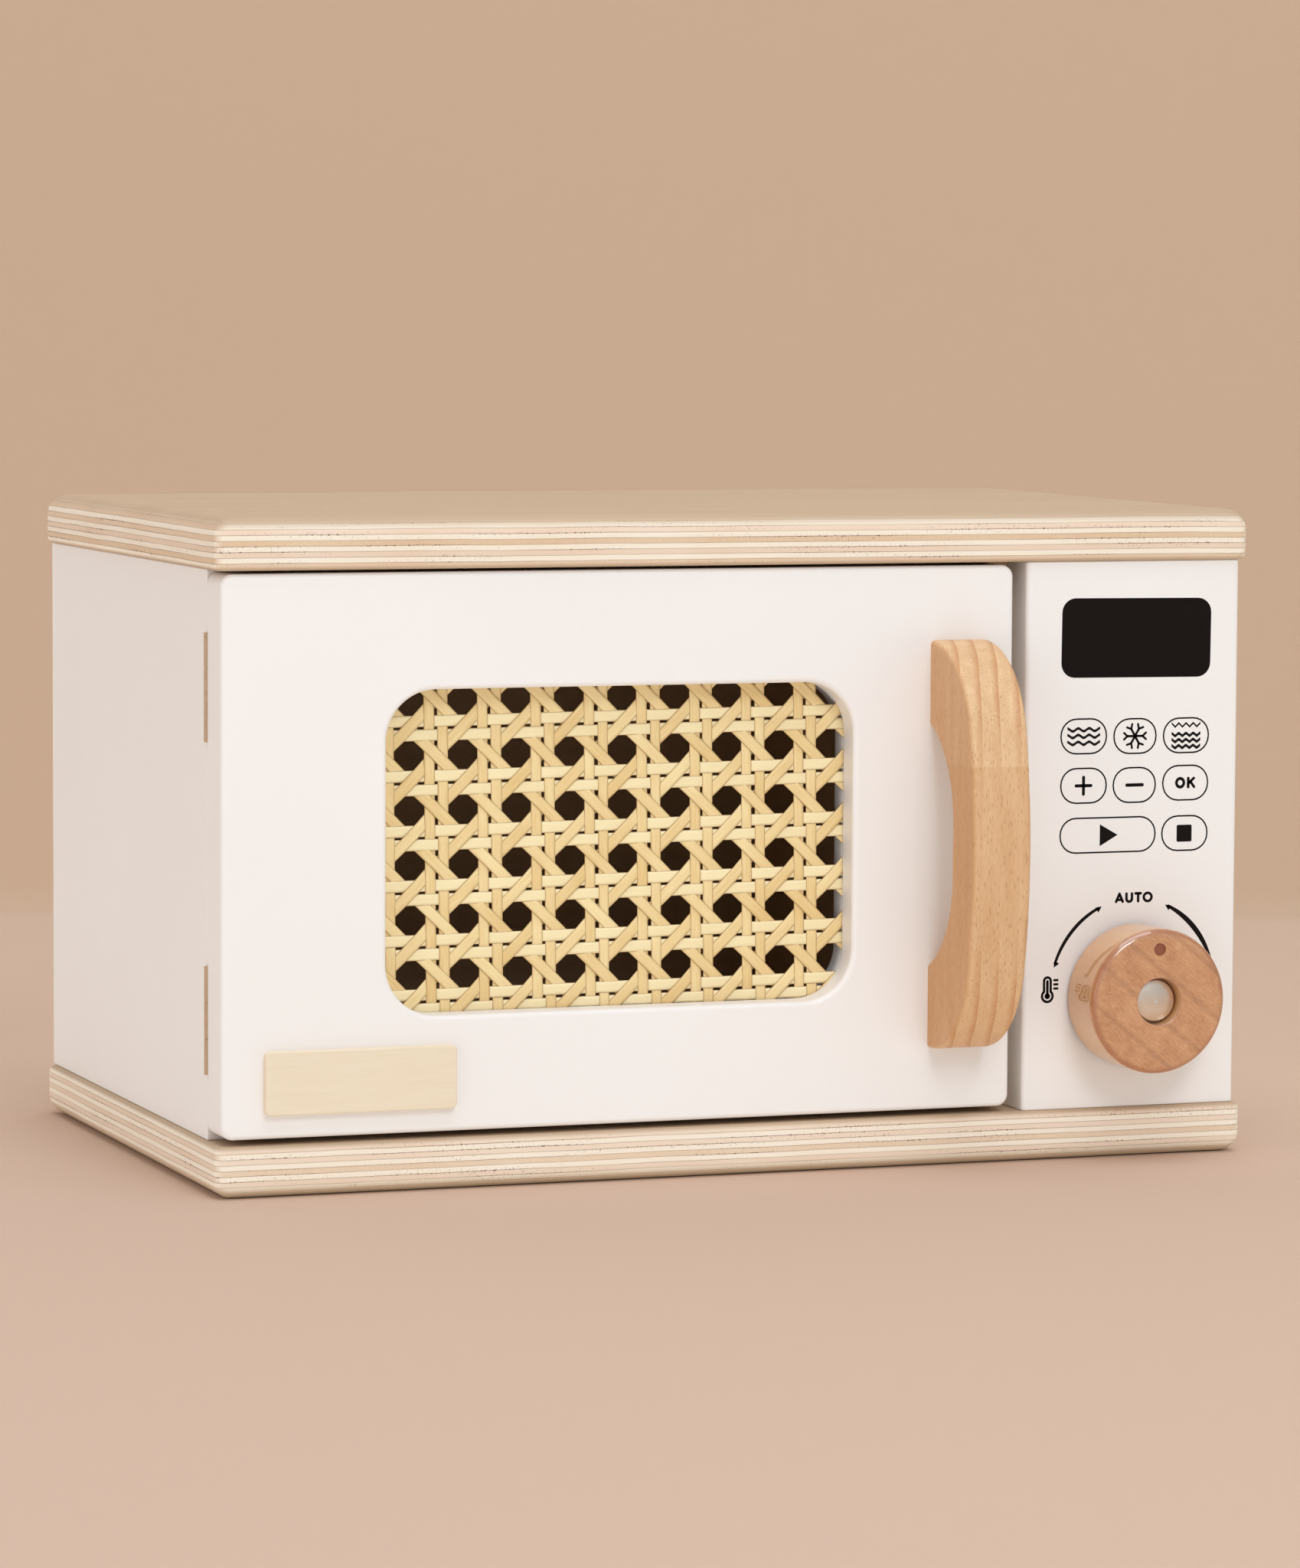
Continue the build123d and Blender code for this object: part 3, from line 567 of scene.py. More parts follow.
metals = {
    "tumbledNickelPlate": {
        "colours": ("#FFFAF0", "#E9DDC8"), "roughness": 0.36, "scratchSize": 0.3, "scratchDepth": 0.008,
        "nodes": ("knob_bolt", "knob_nut", "bolt_washers"),
    },
    "dullHingeBrass": {
        "colours": ("#E6D0B2", "#D3BA98"), "roughness": 0.6, "scratchSize": 0.25, "scratchDepth": 0.01,
        "nodes": (
            "lower_hinge_cabinet_leaf", "upper_hinge_cabinet_leaf", "lower_hinge_door_leaf",
            "upper_hinge_door_leaf", "lower_hinge_pin", "upper_hinge_pin",
        ),
    },
    "brightZincPlate": {
        "colours": ("#B9B9B6", "#A3A4A3"), "roughness": 0.3, "scratchSize": 0.2, "scratchDepth": 0.01,
        "nodes": (
            "back_panel_screws", "cabinet_leaf_screws", "door_leaf_screws", "retainer_screws",
            "handle_screws",
        ),
    },
    "polishedNickelPlate": {
        "colours": ("#C9C9C9", "#B4B5B7"), "roughness": 0.15, "scratchSize": 0.4, "scratchDepth": 0.004,
        "nodes": ("cabinet_magnet", "door_magnet"),
    },
}
cloudSize = 2.6


def makeMetal(name, metal):
    # Plated metal: an uneven plating and fine scratches, drawn coarser than real ones, break up its
    # reflection.
    material, tree, surface, where = startMaterial(name, Metallic=1.0)
    spot = where.outputs["Object"]
    cloudy = addNode(tree, "TexNoise", {"Vector": spot, "Scale": sized(cloudSize), "Detail": 4.0})
    scratches = addNode(tree, "TexNoise", {
        "Vector": spot, "Scale": sized(metal["scratchSize"]), "Detail": 3.0,
    })
    pale, dark = metal["colours"]
    plating = addNode(tree, "Mix", {0: cloudy, 1: pale, 2: dark}, data_type="RGBA")
    roughness = (metal["roughness"] * 0.8, metal["roughness"] * 1.25)
    linkFinish(tree, surface, plating, cloudy, roughness, scratches, metal["scratchDepth"])
    return material


for name, metal in metals.items():
    useMaterial(makeMetal(name, metal), *metal["nodes"])
print("materials on the solids done")

# Cane webbing: pairs of upright and level strands, and two sets of slanting strands that leave
# eight-sided holes

cane = {
    "pitchAcross": 16.15,
    "pitchUp": 15.74,
    "rowDrift": -0.18,
    "columnRise": 0.11,
    "firstHole": (10.0, 10.8),
    "clampedMargin": 8.7,
    "pairHalfAcross": 2.03,
    "pairHalfUp": 1.98,
    "uprightWidth": 3.12,
    "levelWidth": 3.3,
    "slantWidth": 3.35,
    "levelNumbersFrom": 500,
    "thickness": 0.3,
    "crown": 0.05,
    "pairLift": 0.17,
    "slantLift": 0.34,
    "piecesPerMesh": 14,
    "unevenness": 0.12,
    "uprightMeshes": 9,
    "levelMeshes": 13,
    "slantSwing": 1.7,
    "numberStep": 4.0,
    "toneStretch": (0.03, 3.7, 1.0),
    "fibreStretch": (0.12, 7.0, 1.0),
    "paintedSheenShare": 0.6,
    "edgeShadeFrom": 0.86,
    "edgeShadeShare": 0.75,
    "fibreDepth": 0.02,
    "roughness": (0.34, 0.5),
    "pale": "#F9E2AB",
    "dark": "#E6C281",
    "paintedSheen": "#FFF2C6",
    "edge": "#A5763F",
}


def makeCane():
    # Split rattan skin, soaked and woven: glossy cream strands with a lengthwise grain, drawn a little
    # coarser than it is, each strand its own tone, with painted shade darkening its edges where it meets and
    # dips under its neighbours. The level strands are painted paler, a painted sheen for the light they catch
    # along their fibres. U runs along a strand in mm, V numbers the strands and runs one unit to each side of
    # a strand's middle.
    material, tree, surface, where = startMaterial("splitRattanCane", IOR=1.5)
    strip = addNode(tree, "SeparateXYZ", {0: where.outputs["UV"]})
    number = addNode(tree, "Math", {0: strip.outputs[1], 1: cane["numberStep"]}, operation="DIVIDE")
    strand = addNode(tree, "Math", {0: number}, operation="ROUND")
    across = addNode(tree, "Math", {
        0: strand, 1: -cane["numberStep"], 2: strip.outputs[1],
    }, operation="MULTIPLY_ADD")
    tonePlace = addNode(tree, "CombineXYZ", {0: strip.outputs[0], 1: strand})
    toneScaled = addNode(tree, "Mapping", {"Vector": tonePlace, "Scale": cane["toneStretch"]})
    tone = addNode(tree, "TexNoise", {"Vector": toneScaled, "Scale": 1.0, "Detail": 2.0})
    fibrePlace = addNode(tree, "Mapping", {"Vector": where.outputs["UV"], "Scale": cane["fibreStretch"]})
    fibres = addNode(tree, "TexNoise", {"Vector": fibrePlace, "Scale": 1.0, "Detail": 4.0})
    mixed = addNode(tree, "Math", {0: tone, 1: fibres}, operation="ADD")
    spread = addNode(tree, "MapRange", {"Value": mixed, "From Min": 0.72, "From Max": 1.28})
    body = addNode(tree, "Mix", {0: spread, 1: cane["pale"], 2: cane["dark"]}, data_type="RGBA")
    # level strands get a painted sheen: their colour is mixed towards a pale cream
    isLevel = addNode(tree, "Math", {0: strand, 1: cane["levelNumbersFrom"] - 0.5}, operation="GREATER_THAN")
    paintedSheenShare = addNode(tree, "Math", {0: isLevel, 1: cane["paintedSheenShare"]}, operation="MULTIPLY")
    skin = addNode(tree, "Mix", {0: paintedSheenShare, 1: body, 2: cane["paintedSheen"]}, data_type="RGBA")
    # painted shade: each strand darkens towards its edges, where it meets and dips under its neighbours
    side = addNode(tree, "Math", {0: across}, operation="ABSOLUTE")
    cut = addNode(tree, "MapRange", {"Value": side, "From Min": cane["edgeShadeFrom"], "To Max": cane["edgeShadeShare"]})
    coloured = addNode(tree, "Mix", {0: cut, 1: skin, 2: cane["edge"]}, data_type="RGBA")
    linkFinish(tree, surface, coloured, fibres, cane["roughness"], fibres, cane["fibreDepth"])
    return material


def pairLift(distance, period):
    # a strand of a pair rises over one strand of the crossing pair and dips under the other
    reach = 2 * cane["pairHalfAcross"]
    wrapped = (distance + period / 2) % period - period / 2
    return cane["pairLift"] * math.sin(math.pi * wrapped / reach) if abs(wrapped) < reach else 0.0


def slantLift(distance, period):
    # a slanting strand lies flat on top, then flat underneath, with a quick change between
    swing = cane["slantSwing"] * math.cos(2 * math.pi * distance / period)
    return cane["slantLift"] * max(-1.0, min(1.0, swing))


def addStrand(shape, uv, number, place, turn, length, width, period, lift, side):
    # a flat ribbon along x, crowned and lifted in and out, then turned and put in its place
    steps = int(length / period * cane["piecesPerMesh"])
    ribbon = bmesh.ops.create_grid(shape, x_segments=steps, y_segments=4, size=0.5)["verts"]
    bmesh.ops.scale(shape, verts=ribbon, vec=(length, width, 1.0))
    for corner in {loop for vert in ribbon for loop in vert.link_loops}:
        spot = corner.vert.co
        corner[uv].uv = (spot.x, spot.y / width * 2 + cane["numberStep"] * number)
    for vert in ribbon:
        across = vert.co.y / width * 2
        vert.co.z = side * lift(vert.co.x, period) - cane["crown"] * across ** 2
    bmesh.ops.rotate(shape, verts=ribbon, matrix=Matrix.Rotation(turn, 3, "Z"))
    bmesh.ops.translate(shape, verts=ribbon, vec=(*place, 0.0))


def makeCaneWeave():
    low, high = [Vector(corner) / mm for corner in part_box("cane_webbing")]
    shape = bmesh.new()
    uv = shape.loops.layers.uv.new("strand")
    chance = random.Random(12)
    pitch = Vector((cane["pitchAcross"], cane["pitchUp"]))
    corner = Vector((low.x, low.z)) + Vector((cane["clampedMargin"],) * 2)
    hole = corner + Vector(cane["firstHole"])
    width = high.x - low.x
    height = high.z - low.z
    # the strands reach past the webbing's box on all sides, and are trimmed to it below
    columns = range(-2, math.ceil(width / pitch.x) + 1)
    rows = range(-2, math.ceil(height / pitch.y) + 1)
    number = 0

    def uneven():
        return chance.uniform(-1, 1) * cane["unevenness"]

    upright = math.pi / 2
    length = cane["uprightMeshes"] * pitch.y
    for column in columns:
        for side in (-1, 1):
            # the left strand of an upright pair goes over the upper level strand, the right one under it
            place = (hole.x + (column + 0.5) * pitch.x + side * cane["pairHalfAcross"] + uneven(),
                     hole.y + 2.5 * pitch.y)
            number += 1
            addStrand(shape, uv, number, place, upright, length, cane["uprightWidth"] + uneven(),
                      pitch.y, pairLift, -side)
    levelNumber = cane["levelNumbersFrom"]
    length = cane["levelMeshes"] * pitch.x
    for row in rows:
        for side in (-1, 1):
            place = (hole.x + 4.5 * pitch.x,
                     hole.y + (row + 0.5) * pitch.y + side * cane["pairHalfUp"] + uneven())
            levelNumber += 1
            addStrand(shape, uv, levelNumber, place, 0.0, length, cane["levelWidth"] + uneven(),
                      pitch.x, pairLift, side)
    slant = math.atan2(pitch.y, pitch.x)
    length = cane["levelMeshes"] * pitch.length
    for step in range(-6, len(columns) + 2):
        for rising in (False, True):
            # falling strands lie on top beside a hole, rising ones on top above and below it
            place = (hole.x + (step + 0.5) * pitch.x + uneven(), hole.y + 3 * pitch.y + uneven())
            number += 1
            addStrand(shape, uv, number, place, slant if rising else -slant, length,
                      cane["slantWidth"] + uneven(), pitch.length, slantLift, -1 if rising else 1)
    # the weave isn't quite square: each row drifts to the left, each column rises a little
    for vert in shape.verts:
        away = vert.co.xy - hole
        vert.co.x += cane["rowDrift"] * away.y / pitch.y
        vert.co.y += cane["columnRise"] * away.x / pitch.x
    for edge, outward in (
        ((low.x, 0), (-1, 0)), ((high.x, 0), (1, 0)), ((0, low.z), (0, -1)), ((0, high.z), (0, 1)),
    ):
        geometry = shape.verts[:] + shape.edges[:] + shape.faces[:]
        bmesh.ops.bisect_plane(
            shape, geom=geometry, plane_co=(*edge, 0), plane_no=(*outward, 0), clear_outer=True
        )
    bmesh.ops.solidify(shape, geom=shape.faces[:], thickness=cane["thickness"])
    # from millimetres in the door's plane to the webbing's place
    bmesh.ops.scale(shape, verts=shape.verts, vec=(mm, mm, mm))
    bmesh.ops.rotate(shape, verts=shape.verts, matrix=Matrix.Rotation(math.pi / 2, 3, "X"))
    bmesh.ops.translate(shape, verts=shape.verts, vec=(0, (low.y + high.y) / 2 * mm, 0))
    for face in shape.faces:
        face.smooth = True
    weave = addPiece(shape, "cane_weave", makeCane(), "door")
    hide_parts("cane_webbing")


makeCaneWeave()
print("cane weave done")

# Prints on the control panel, in millimetres from its lower left corner

prints = {
    "ink": "#0E0706",
    "inkWorn": "#150C0A",
    "patchSize": 1.5,
    "roughness": (0.5, 0.65),
    "thickness": 0.03,
    "grit": 0.004,
}


def makeInk():
    # Screen-printed ink: near black and matt, a little uneven where it took to the paint.
    material, tree, surface, where = startMaterial("screenPrintedInk", IOR=1.25)
    spot = where.outputs["Object"]
    patchy = addNode(tree, "TexNoise", {"Vector": spot, "Scale": sized(prints["patchSize"]), "Detail": 3.0})
    inked = addNode(tree, "Mix", {0: patchy, 1: prints["ink"], 2: prints["inkWorn"]}, data_type="RGBA")
    linkFinish(tree, surface, inked, patchy, prints["roughness"], patchy, prints["grit"])
    return material


def cutToRim(shape, face, width):
    # of a filled outline only its rim stays; gives back the rim's vertices
    rim = bmesh.ops.inset_region(
        shape, faces=[face], thickness=width, use_boundary=True, use_even_offset=True
    )["faces"]
    bmesh.ops.delete(shape, geom=[face], context="FACES_ONLY")
    return list({vert for part in rim for vert in part.verts})


def addPlate(shape, middle, width, height, radius, outline=0.0, turn=0.0):
    # rounded rectangle, filled or as an outline
    square = bmesh.ops.create_grid(shape, x_segments=1, y_segments=1, size=0.5)["verts"]
    bmesh.ops.scale(shape, verts=square, vec=(width, height, 1.0))
    bmesh.ops.rotate(shape, verts=square, matrix=Matrix.Rotation(turn, 3, "Z"))
    bmesh.ops.translate(shape, verts=square, vec=(*middle, 0.0))
    rounded = bmesh.ops.bevel(
        shape, geom=square, offset=radius, segments=6, profile=0.5, affect="VERTICES", material=-1
    )
    if outline:
        cutToRim(shape, max(rounded["verts"][0].link_faces, key=lambda f: f.calc_area()), outline)


def addBar(shape, start, end, width):
    # stroke with round ends
    run = Vector(end) - Vector(start)
    middle = (Vector(start) + Vector(end)) / 2
    addPlate(shape, middle, run.length + width, width, width * 0.49, turn=math.atan2(run.y, run.x))


def addDisc(shape, middle, radius, outline=0.0, stretch=1.0):
    # disc or ring; stretch makes it an upright oval
    rim = bmesh.ops.create_circle(shape, cap_ends=True, radius=radius, segments=28)["verts"]
    if outline:
        rim = cutToRim(shape, rim[0].link_faces[0], outline)
    bmesh.ops.scale(shape, verts=rim, vec=(1.0, stretch, 1.0))
    bmesh.ops.translate(shape, verts=rim, vec=(*middle, 0.0))


def addTriangle(shape, tip, length, width, turn):
    corners = bmesh.ops.create_circle(shape, cap_ends=True, radius=1.0, segments=3)["verts"]
    bmesh.ops.rotate(shape, verts=corners, matrix=Matrix.Rotation(-math.pi / 2, 3, "Z"))
    bmesh.ops.translate(shape, verts=corners, vec=(-1.0, 0.0, 0.0))
    bmesh.ops.scale(shape, verts=corners, vec=(length / 1.5, width / math.sqrt(3), 1.0))
    bmesh.ops.rotate(shape, verts=corners, matrix=Matrix.Rotation(turn, 3, "Z"))
    bmesh.ops.translate(shape, verts=corners, vec=(*tip, 0.0))


def addWave(shape, middle, length, waves, height, stroke, smooth=8):
    # level wavy stroke; with smooth at 2 it is a zigzag
    strip = bmesh.ops.create_grid(shape, x_segments=waves * smooth, y_segments=1, size=0.5)["verts"]
    for vert in strip:
        swing = height * math.cos(2 * math.pi * waves * (vert.co.x + 0.5))
        vert.co = (vert.co.x * length, vert.co.y * stroke + swing, 0.0)
    bmesh.ops.translate(shape, verts=strip, vec=(*middle, 0.0))


def addArc(shape, middle, radius, start, end, stroke, swell=0.0, squeeze=1.0):
    # round stroke between two angles in degrees, thicker by swell halfway, and narrowed by squeeze
    strip = bmesh.ops.create_grid(shape, x_segments=24, y_segments=1, size=0.5)["verts"]
    for vert in strip:
        angle = math.radians(start + (end - start) * (vert.co.x + 0.5))
        thick = stroke + swell * math.sin(math.pi * (vert.co.x + 0.5))
        reach = radius - vert.co.y * thick * (1 if end > start else -1)
        vert.co = (reach * math.cos(angle) * squeeze, reach * math.sin(angle), 0.0)
    bmesh.ops.translate(shape, verts=strip, vec=(*middle, 0.0))


display = {"place": (35.35, 139.8), "width": 48.3, "height": 23.5, "radius": 4.3, "turn": -0.5}


def drawDisplay(shape):
    addPlate(shape, display["place"], display["width"], display["height"], display["radius"],
             turn=math.radians(display["turn"]))


pill = {"height": 10.75, "radius": 5.2, "outline": 0.46}
buttons = {  # middle across, middle up, width
    "defrostLow": (18.6, 110.85, 15.1),
    "defrost": (35.2, 110.6, 14.1),
    "defrostHigh": (51.8, 110.5, 15.1),
    "more": (18.7, 96.2, 15.1),
    "less": (35.15, 96.05, 14.1),
    "confirm": (51.75, 96.35, 15.1),
    "start": (26.7, 81.4, 31.2),
    "stop": (51.7, 81.3, 15.2),
}


def drawButtons(shape):
    for x, z, width in buttons.values():
        addPlate(shape, (x, z), width, pill["height"], pill["radius"], pill["outline"])


waves = {
    "soft": {"length": 10.6, "waves": 3, "height": 0.44, "stroke": 0.84},
    "softRises": (1.95, 0.0, -2.05),
    "zigzag": {"length": 9.4, "waves": 4, "height": 0.55, "stroke": 0.66, "smooth": 2},
    "zigzagRise": 3.1,
    "strong": {"length": 9.4, "waves": 4, "height": 0.36, "stroke": 0.92},
    "strongRises": (0.25, -1.55, -3.35),
}


def drawWaves(shape):
    x, z = buttons["defrostLow"][:2]
    for rise in waves["softRises"]:
        addWave(shape, (x, z + rise), **waves["soft"])
    x, z = buttons["defrostHigh"][:2]
    addWave(shape, (x, z + waves["zigzagRise"]), **waves["zigzag"])
    for rise in waves["strongRises"]:
        addWave(shape, (x, z + rise), **waves["strong"])


snowflake = {"hub": 0.6, "arm": 2.45, "armStroke": 0.72, "tip": 1.45, "tipStroke": 0.66, "tipLean": 0.72}


def drawSnowflake(shape):
    middle = Vector(buttons["defrost"][:2])
    addDisc(shape, middle, snowflake["hub"])
    for arm in range(6):
        turn = math.radians(60 * arm)
        fork = middle + Vector((math.cos(turn), math.sin(turn))) * snowflake["arm"]
        addBar(shape, middle, fork, snowflake["armStroke"])
        for lean in (-snowflake["tipLean"], snowflake["tipLean"]):
            tip = fork + Vector((math.cos(turn + lean), math.sin(turn + lean))) * snowflake["tip"]
            addBar(shape, fork, tip, snowflake["tipStroke"])


signs = {
    "plusReach": (2.4, 2.5),
    "plusStroke": 0.95,
    "minus": (0.1, 5.9, 1.0, 0.3),  # shift, length, height, corner radius
    "letterO": (-1.65, 3.3, 3.5, 0.88),  # shift, width, height, stroke
    "letterK": (  # start, end and stroke of each bar
        ((1.0, -1.28), (1.0, 1.28), 0.9), ((1.2, -0.1), (2.8, 1.3), 0.82), ((1.7, 0.3), (2.9, -1.3), 0.82),
    ),
}


def drawSigns(shape):
    x, z = buttons["more"][:2]
    across, up = signs["plusReach"]
    addBar(shape, (x - across, z), (x + across, z), signs["plusStroke"])
    addBar(shape, (x, z - up), (x, z + up), signs["plusStroke"])
    x, z = buttons["less"][:2]
    shift, length, thick, radius = signs["minus"]
    addPlate(shape, (x + shift, z), length, thick, radius)
    x, z = buttons["confirm"][:2]
    shift, wide, tall, stroke = signs["letterO"]
    addDisc(shape, (x + shift, z), wide / 2, stroke, tall / wide)
    for start, end, stroke in signs["letterK"]:
        addBar(shape, Vector((x, z)) + Vector(start), Vector((x, z)) + Vector(end), stroke)


startStop = {
    "triangle": (3.2, 5.75, 6.5),  # shift of the tip, length, height
    "square": (-0.1, 4.9, 5.05, 0.45),  # shift, width, height, corner radius
    "drop": -0.05,
}


def drawStartStop(shape):
    x, z = buttons["start"][:2]
    shift, long, wide = startStop["triangle"]
    addTriangle(shape, (x + shift, z + startStop["drop"]), long, wide, 0.0)
    x, z = buttons["stop"][:2]
    shift, wide, tall, radius = startStop["square"]
    addPlate(shape, (x + shift, z + startStop["drop"]), wide, tall, radius)


dial = {
    "middle": (35.3, 33.5),
    "radius": 28.8,
    "leftArc": (114.4, 160.1, 0.86, 0.26),  # from and to in degrees, stroke, swell
    "rightArc": (65.6, 20.6, 0.9, 0.75),
    "leftSqueeze": 0.934,
    "rightSqueeze": 0.938,
    "leftHeads": ((112.4, -78), (162.1, 76)),  # place and turn in degrees
    "rightHeads": ((67.4, 78), (20.0, -76)),
    "head": (1.9, 1.75),  # length, width
}


def drawDialScale(shape):
    # each arc ends in arrowheads; the right one's lower end is behind the knob
    middle = Vector(dial["middle"])
    for side in ("left", "right"):
        squeeze = dial[side + "Squeeze"]
        addArc(shape, middle, dial["radius"], *dial[side + "Arc"], squeeze)
        for angle, turn in dial[side + "Heads"]:
            spread = math.radians(angle)
            point = middle + dial["radius"] * Vector((math.cos(spread) * squeeze, math.sin(spread)))
            addTriangle(shape, point, *dial["head"], math.radians(angle + turn))


autoWord = {
    "corner": (29.3, 60.95),
    "height": 3.15,
    "stroke": 0.82,
    "letterA": (0.0, 2.96),  # left edge, width
    "crossbar": (0.75, 2.2, 0.95),  # start, end, rise
    "crossbarShare": 0.85,
    "letterU": (3.35, 2.6, 1.2),  # left edge, width, rise of the bend
    "letterT": (6.3, 2.5),  # left edge, width
    "letterO": (10.65, 3.35, 3.25),  # middle, width, height
}


def drawAutoWord(shape):
    x, z = autoWord["corner"]
    stroke = autoWord["stroke"]
    foot, top = z + stroke / 2, z + autoWord["height"] - stroke / 2
    left, wide = autoWord["letterA"]
    apex = (x + left + wide / 2, top)
    addBar(shape, (x + left + stroke / 2, foot), apex, stroke)
    addBar(shape, (x + left + wide - stroke / 2, foot), apex, stroke)
    start, end, rise = autoWord["crossbar"]
    addBar(shape, (x + start, z + rise), (x + end, z + rise), stroke * autoWord["crossbarShare"])
    left, wide, rise = autoWord["letterU"]
    for upright in (x + left + stroke / 2, x + left + wide - stroke / 2):
        addBar(shape, (upright, z + rise), (upright, top), stroke)
    addArc(shape, (x + left + wide / 2, z + rise + 0.05), (wide - stroke) / 2, 180, 360, stroke)
    left, wide = autoWord["letterT"]
    addBar(shape, (x + left + stroke / 2, top), (x + left + wide - stroke / 2, top), stroke)
    addBar(shape, (x + left + wide / 2, foot), (x + left + wide / 2, top), stroke)
    middle, wide, tall = autoWord["letterO"]
    addDisc(shape, (x + middle, z + autoWord["height"] / 2), wide / 2, stroke, tall / wide)


thermometer = {
    "bulb": (7.75, 33.95),
    "glassRadius": 1.7,
    "glassArc": (129, 411),
    "glassStroke": 0.76,
    "columnRadius": 0.9,
    "columnTop": 4.35,
    "columnStroke": 0.85,
    "tubeRadius": 1.07,
    "tubeFrom": 1.35,
    "tubeTo": 4.5,
    "marks": (2.2, 3.45, 4.7),
    "markReach": (2.2, 3.25),
    "markStroke": 0.68,
}


def drawThermometer(shape):
    # glass outline: bulb and tube; then the column and its bulb, and three marks
    x, z = thermometer["bulb"]
    stroke = thermometer["glassStroke"]
    half, low, high = thermometer["tubeRadius"], thermometer["tubeFrom"], thermometer["tubeTo"]
    addArc(shape, (x, z), thermometer["glassRadius"], *thermometer["glassArc"], stroke)
    for side in (-half, half):
        addBar(shape, (x + side, z + low), (x + side, z + high), stroke)
    addArc(shape, (x, z + high), half, 0, 180, stroke)
    addDisc(shape, (x, z), thermometer["columnRadius"])
    addBar(shape, (x, z), (x, z + thermometer["columnTop"]), thermometer["columnStroke"])
    start, end = thermometer["markReach"]
    for rise in thermometer["marks"]:
        addBar(shape, (x + start, z + rise), (x + end, z + rise), thermometer["markStroke"])


ink = makeInk()
panelCorner = Vector(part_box("control_panel")[0])
for name, draw in {
    "display_print": drawDisplay,
    "button_outlines": drawButtons,
    "wave_symbols": drawWaves,
    "snowflake_symbol": drawSnowflake,
    "plus_minus_ok": drawSigns,
    "start_stop_symbols": drawStartStop,
    "dial_arrows": drawDialScale,
    "auto_word": drawAutoWord,
    "thermometer_symbol": drawThermometer,
}.items():
    # drawn flat in millimetres, then given the ink's thickness and stood on the panel's front face
    shape = bmesh.new()
    draw(shape)
    bmesh.ops.solidify(shape, geom=shape.faces[:], thickness=prints["thickness"])
    bmesh.ops.scale(shape, verts=shape.verts, vec=(mm, mm, mm))
    bmesh.ops.rotate(shape, verts=shape.verts, matrix=Matrix.Rotation(math.pi / 2, 3, "X"))
    nearest = max(vert.co.y for vert in shape.verts)
    bmesh.ops.translate(shape, verts=shape.verts, vec=panelCorner - Vector((0, nearest, 0)))
    addPiece(shape, name, ink, "cabinet")
print("prints done")

# Camera: where the photograph was taken from

view = {
    "place": (-0.61552, -1.70899, 0.25893),
    "yaw": 19.961,
    "pitch": -4.792,
    "roll": 0.303,
    "focalPixels": 7819.6,
    "photoHeight": 2048,
    "sensor": 36.0,
}


def makeCamera():
    camera = bpy.data.cameras.new("photoCamera")
    camera.sensor_width = view["sensor"]
    camera.lens = view["focalPixels"] / view["photoHeight"] * camera.sensor_width
    holder = bpy.data.objects.new("photoCamera", camera)
    bpy.context.scene.collection.objects.link(holder)
    turned = Matrix.Rotation(math.radians(-view["yaw"]), 4, "Z")
    tilted = Matrix.Rotation(math.radians(90 + view["pitch"]), 4, "X")
    rolled = Matrix.Rotation(math.radians(view["roll"]), 4, "Z")
    holder.matrix_world = Matrix.Translation(view["place"]) @ turned @ tilted @ rolled
    bpy.context.scene.camera = holder


makeCamera()

# Stage: one sheet of paper, floor and wall, folded behind the toy and square to the camera

stage = {
    "floor": "#CBAE99",
    "wall": "#C6A98F",
    "bounce": "#FDF6ED",
    "foldBehind": 0.62,
    "foldRadius": 0.012,
    "foldSegments": 12,
    "reach": 5.0,
    "roughness": 0.95,
}


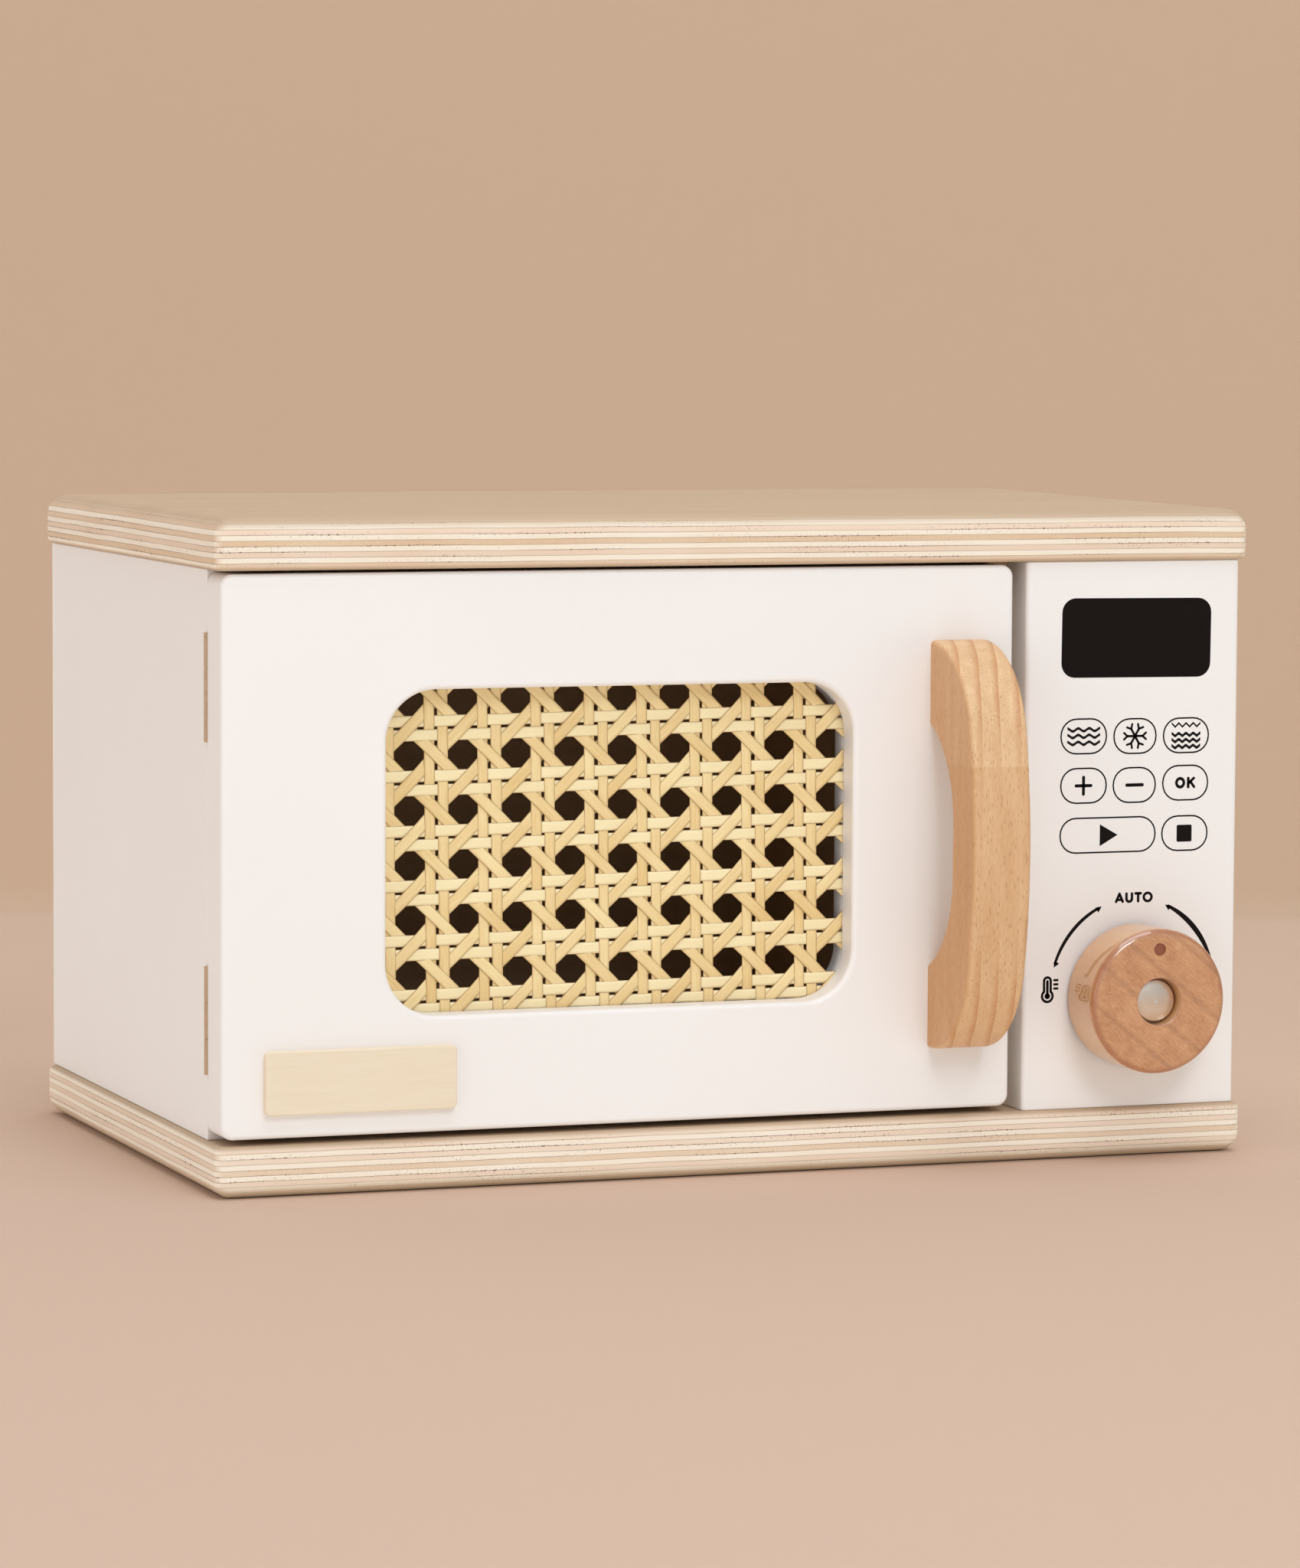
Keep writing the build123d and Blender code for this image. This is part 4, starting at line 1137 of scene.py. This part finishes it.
def makeBackdrop():
    # Matt seamless paper: even, with a soft shadow under the toy. Only the camera sees its tan, and from
    # behind the wall it sees through it.
    material, tree, surface, where = startMaterial("seamlessPaper", Roughness=stage["roughness"])
    parts = addNode(tree, "SeparateXYZ", {0: where.outputs["Object"]})
    rise = addNode(tree, "MapRange", {"Value": parts.outputs[2], "From Max": 2 * mm})
    paper = addNode(tree, "Mix", {0: rise, 1: stage["floor"], 2: stage["wall"]}, data_type="RGBA")
    ray = addNode(tree, "LightPath")
    seen = addNode(tree, "Math", {
        0: ray.outputs["Is Camera Ray"], 1: ray.outputs["Is Glossy Ray"],
    }, operation="MAXIMUM")
    shown = addNode(tree, "Mix", {0: seen, 1: stage["bounce"], 2: paper}, data_type="RGBA")
    linkFinish(tree, surface, shown)
    behind = addNode(tree, "NewGeometry").outputs["Backfacing"]
    sheet = addNode(tree, "MixShader", {0: behind, 1: surface, 2: addNode(tree, "BsdfTransparent")})
    tree.links.new(sheet.outputs[0], tree.get_output_node("ALL").inputs["Surface"])
    shape = bmesh.new()
    bmesh.ops.create_grid(shape, x_segments=1, y_segments=1, size=stage["reach"])
    bmesh.ops.translate(shape, verts=shape.verts, vec=(0, stage["foldBehind"] - stage["reach"], 0))
    back = [e for e in shape.edges if min(v.co.y for v in e.verts) > stage["foldBehind"] - 0.01]
    wall = bmesh.ops.extrude_edge_only(shape, edges=back)
    raised = [v for v in wall["geom"] if isinstance(v, bmesh.types.BMVert)]
    bmesh.ops.translate(shape, verts=raised, vec=(0, 0, stage["reach"]))
    fold = [e for e in shape.edges if e.is_manifold]
    bmesh.ops.bevel(
        shape, geom=fold, offset=stage["foldRadius"], segments=stage["foldSegments"], profile=0.5,
        affect="EDGES", material=-1
    )
    bmesh.ops.rotate(shape, verts=shape.verts, matrix=Matrix.Rotation(math.radians(-view["yaw"]), 3, "Z"))
    mesh = bpy.data.meshes.new("backdrop")
    shape.to_mesh(mesh)
    shape.free()
    mesh.materials.append(material)
    mesh.shade_smooth()
    backdrop = bpy.data.objects.new("backdrop", mesh)
    bpy.context.scene.collection.objects.link(backdrop)


makeBackdrop()

# Lights: a large soft box overhead, one in front, a weak one low on the left, and a pale room

lamps = {
    "overhead": {"place": (0.0, -0.5, 2.0), "size": 1.4, "power": 17.4, "colour": "#F3F9FF"},
    "front": {"place": (0.0, -1.6, 1.2), "size": 0.6, "power": 9.2, "colour": "#F3F9FF"},
    "left": {"place": (-1.9, -0.7, 0.5), "size": 1.6, "power": 7.3, "colour": "#FFEFEF"},
}
room = {"colour": "#F8FBFF", "strength": 0.47}
aim = Vector((0, 0, 0.09))

for name, lamp in lamps.items():
    light = bpy.data.lights.new(name, "AREA")
    light.shape = "SQUARE"
    light.size = lamp["size"]
    light.energy = lamp["power"]
    light.color = linear(lamp["colour"])[:3]
    holder = bpy.data.objects.new(name, light)
    bpy.context.scene.collection.objects.link(holder)
    holder.location = lamp["place"]
    holder.rotation_euler = (aim - Vector(lamp["place"])).to_track_quat("-Z", "Y").to_euler()

world = bpy.data.worlds.new("room")
world.use_nodes = True
world.node_tree.nodes["Background"].inputs["Color"].default_value = linear(room["colour"])
world.node_tree.nodes["Background"].inputs["Strength"].default_value = room["strength"]
bpy.context.scene.world = world
bpy.context.scene.view_settings.view_transform = "Standard"
print("stage, lights and camera done")
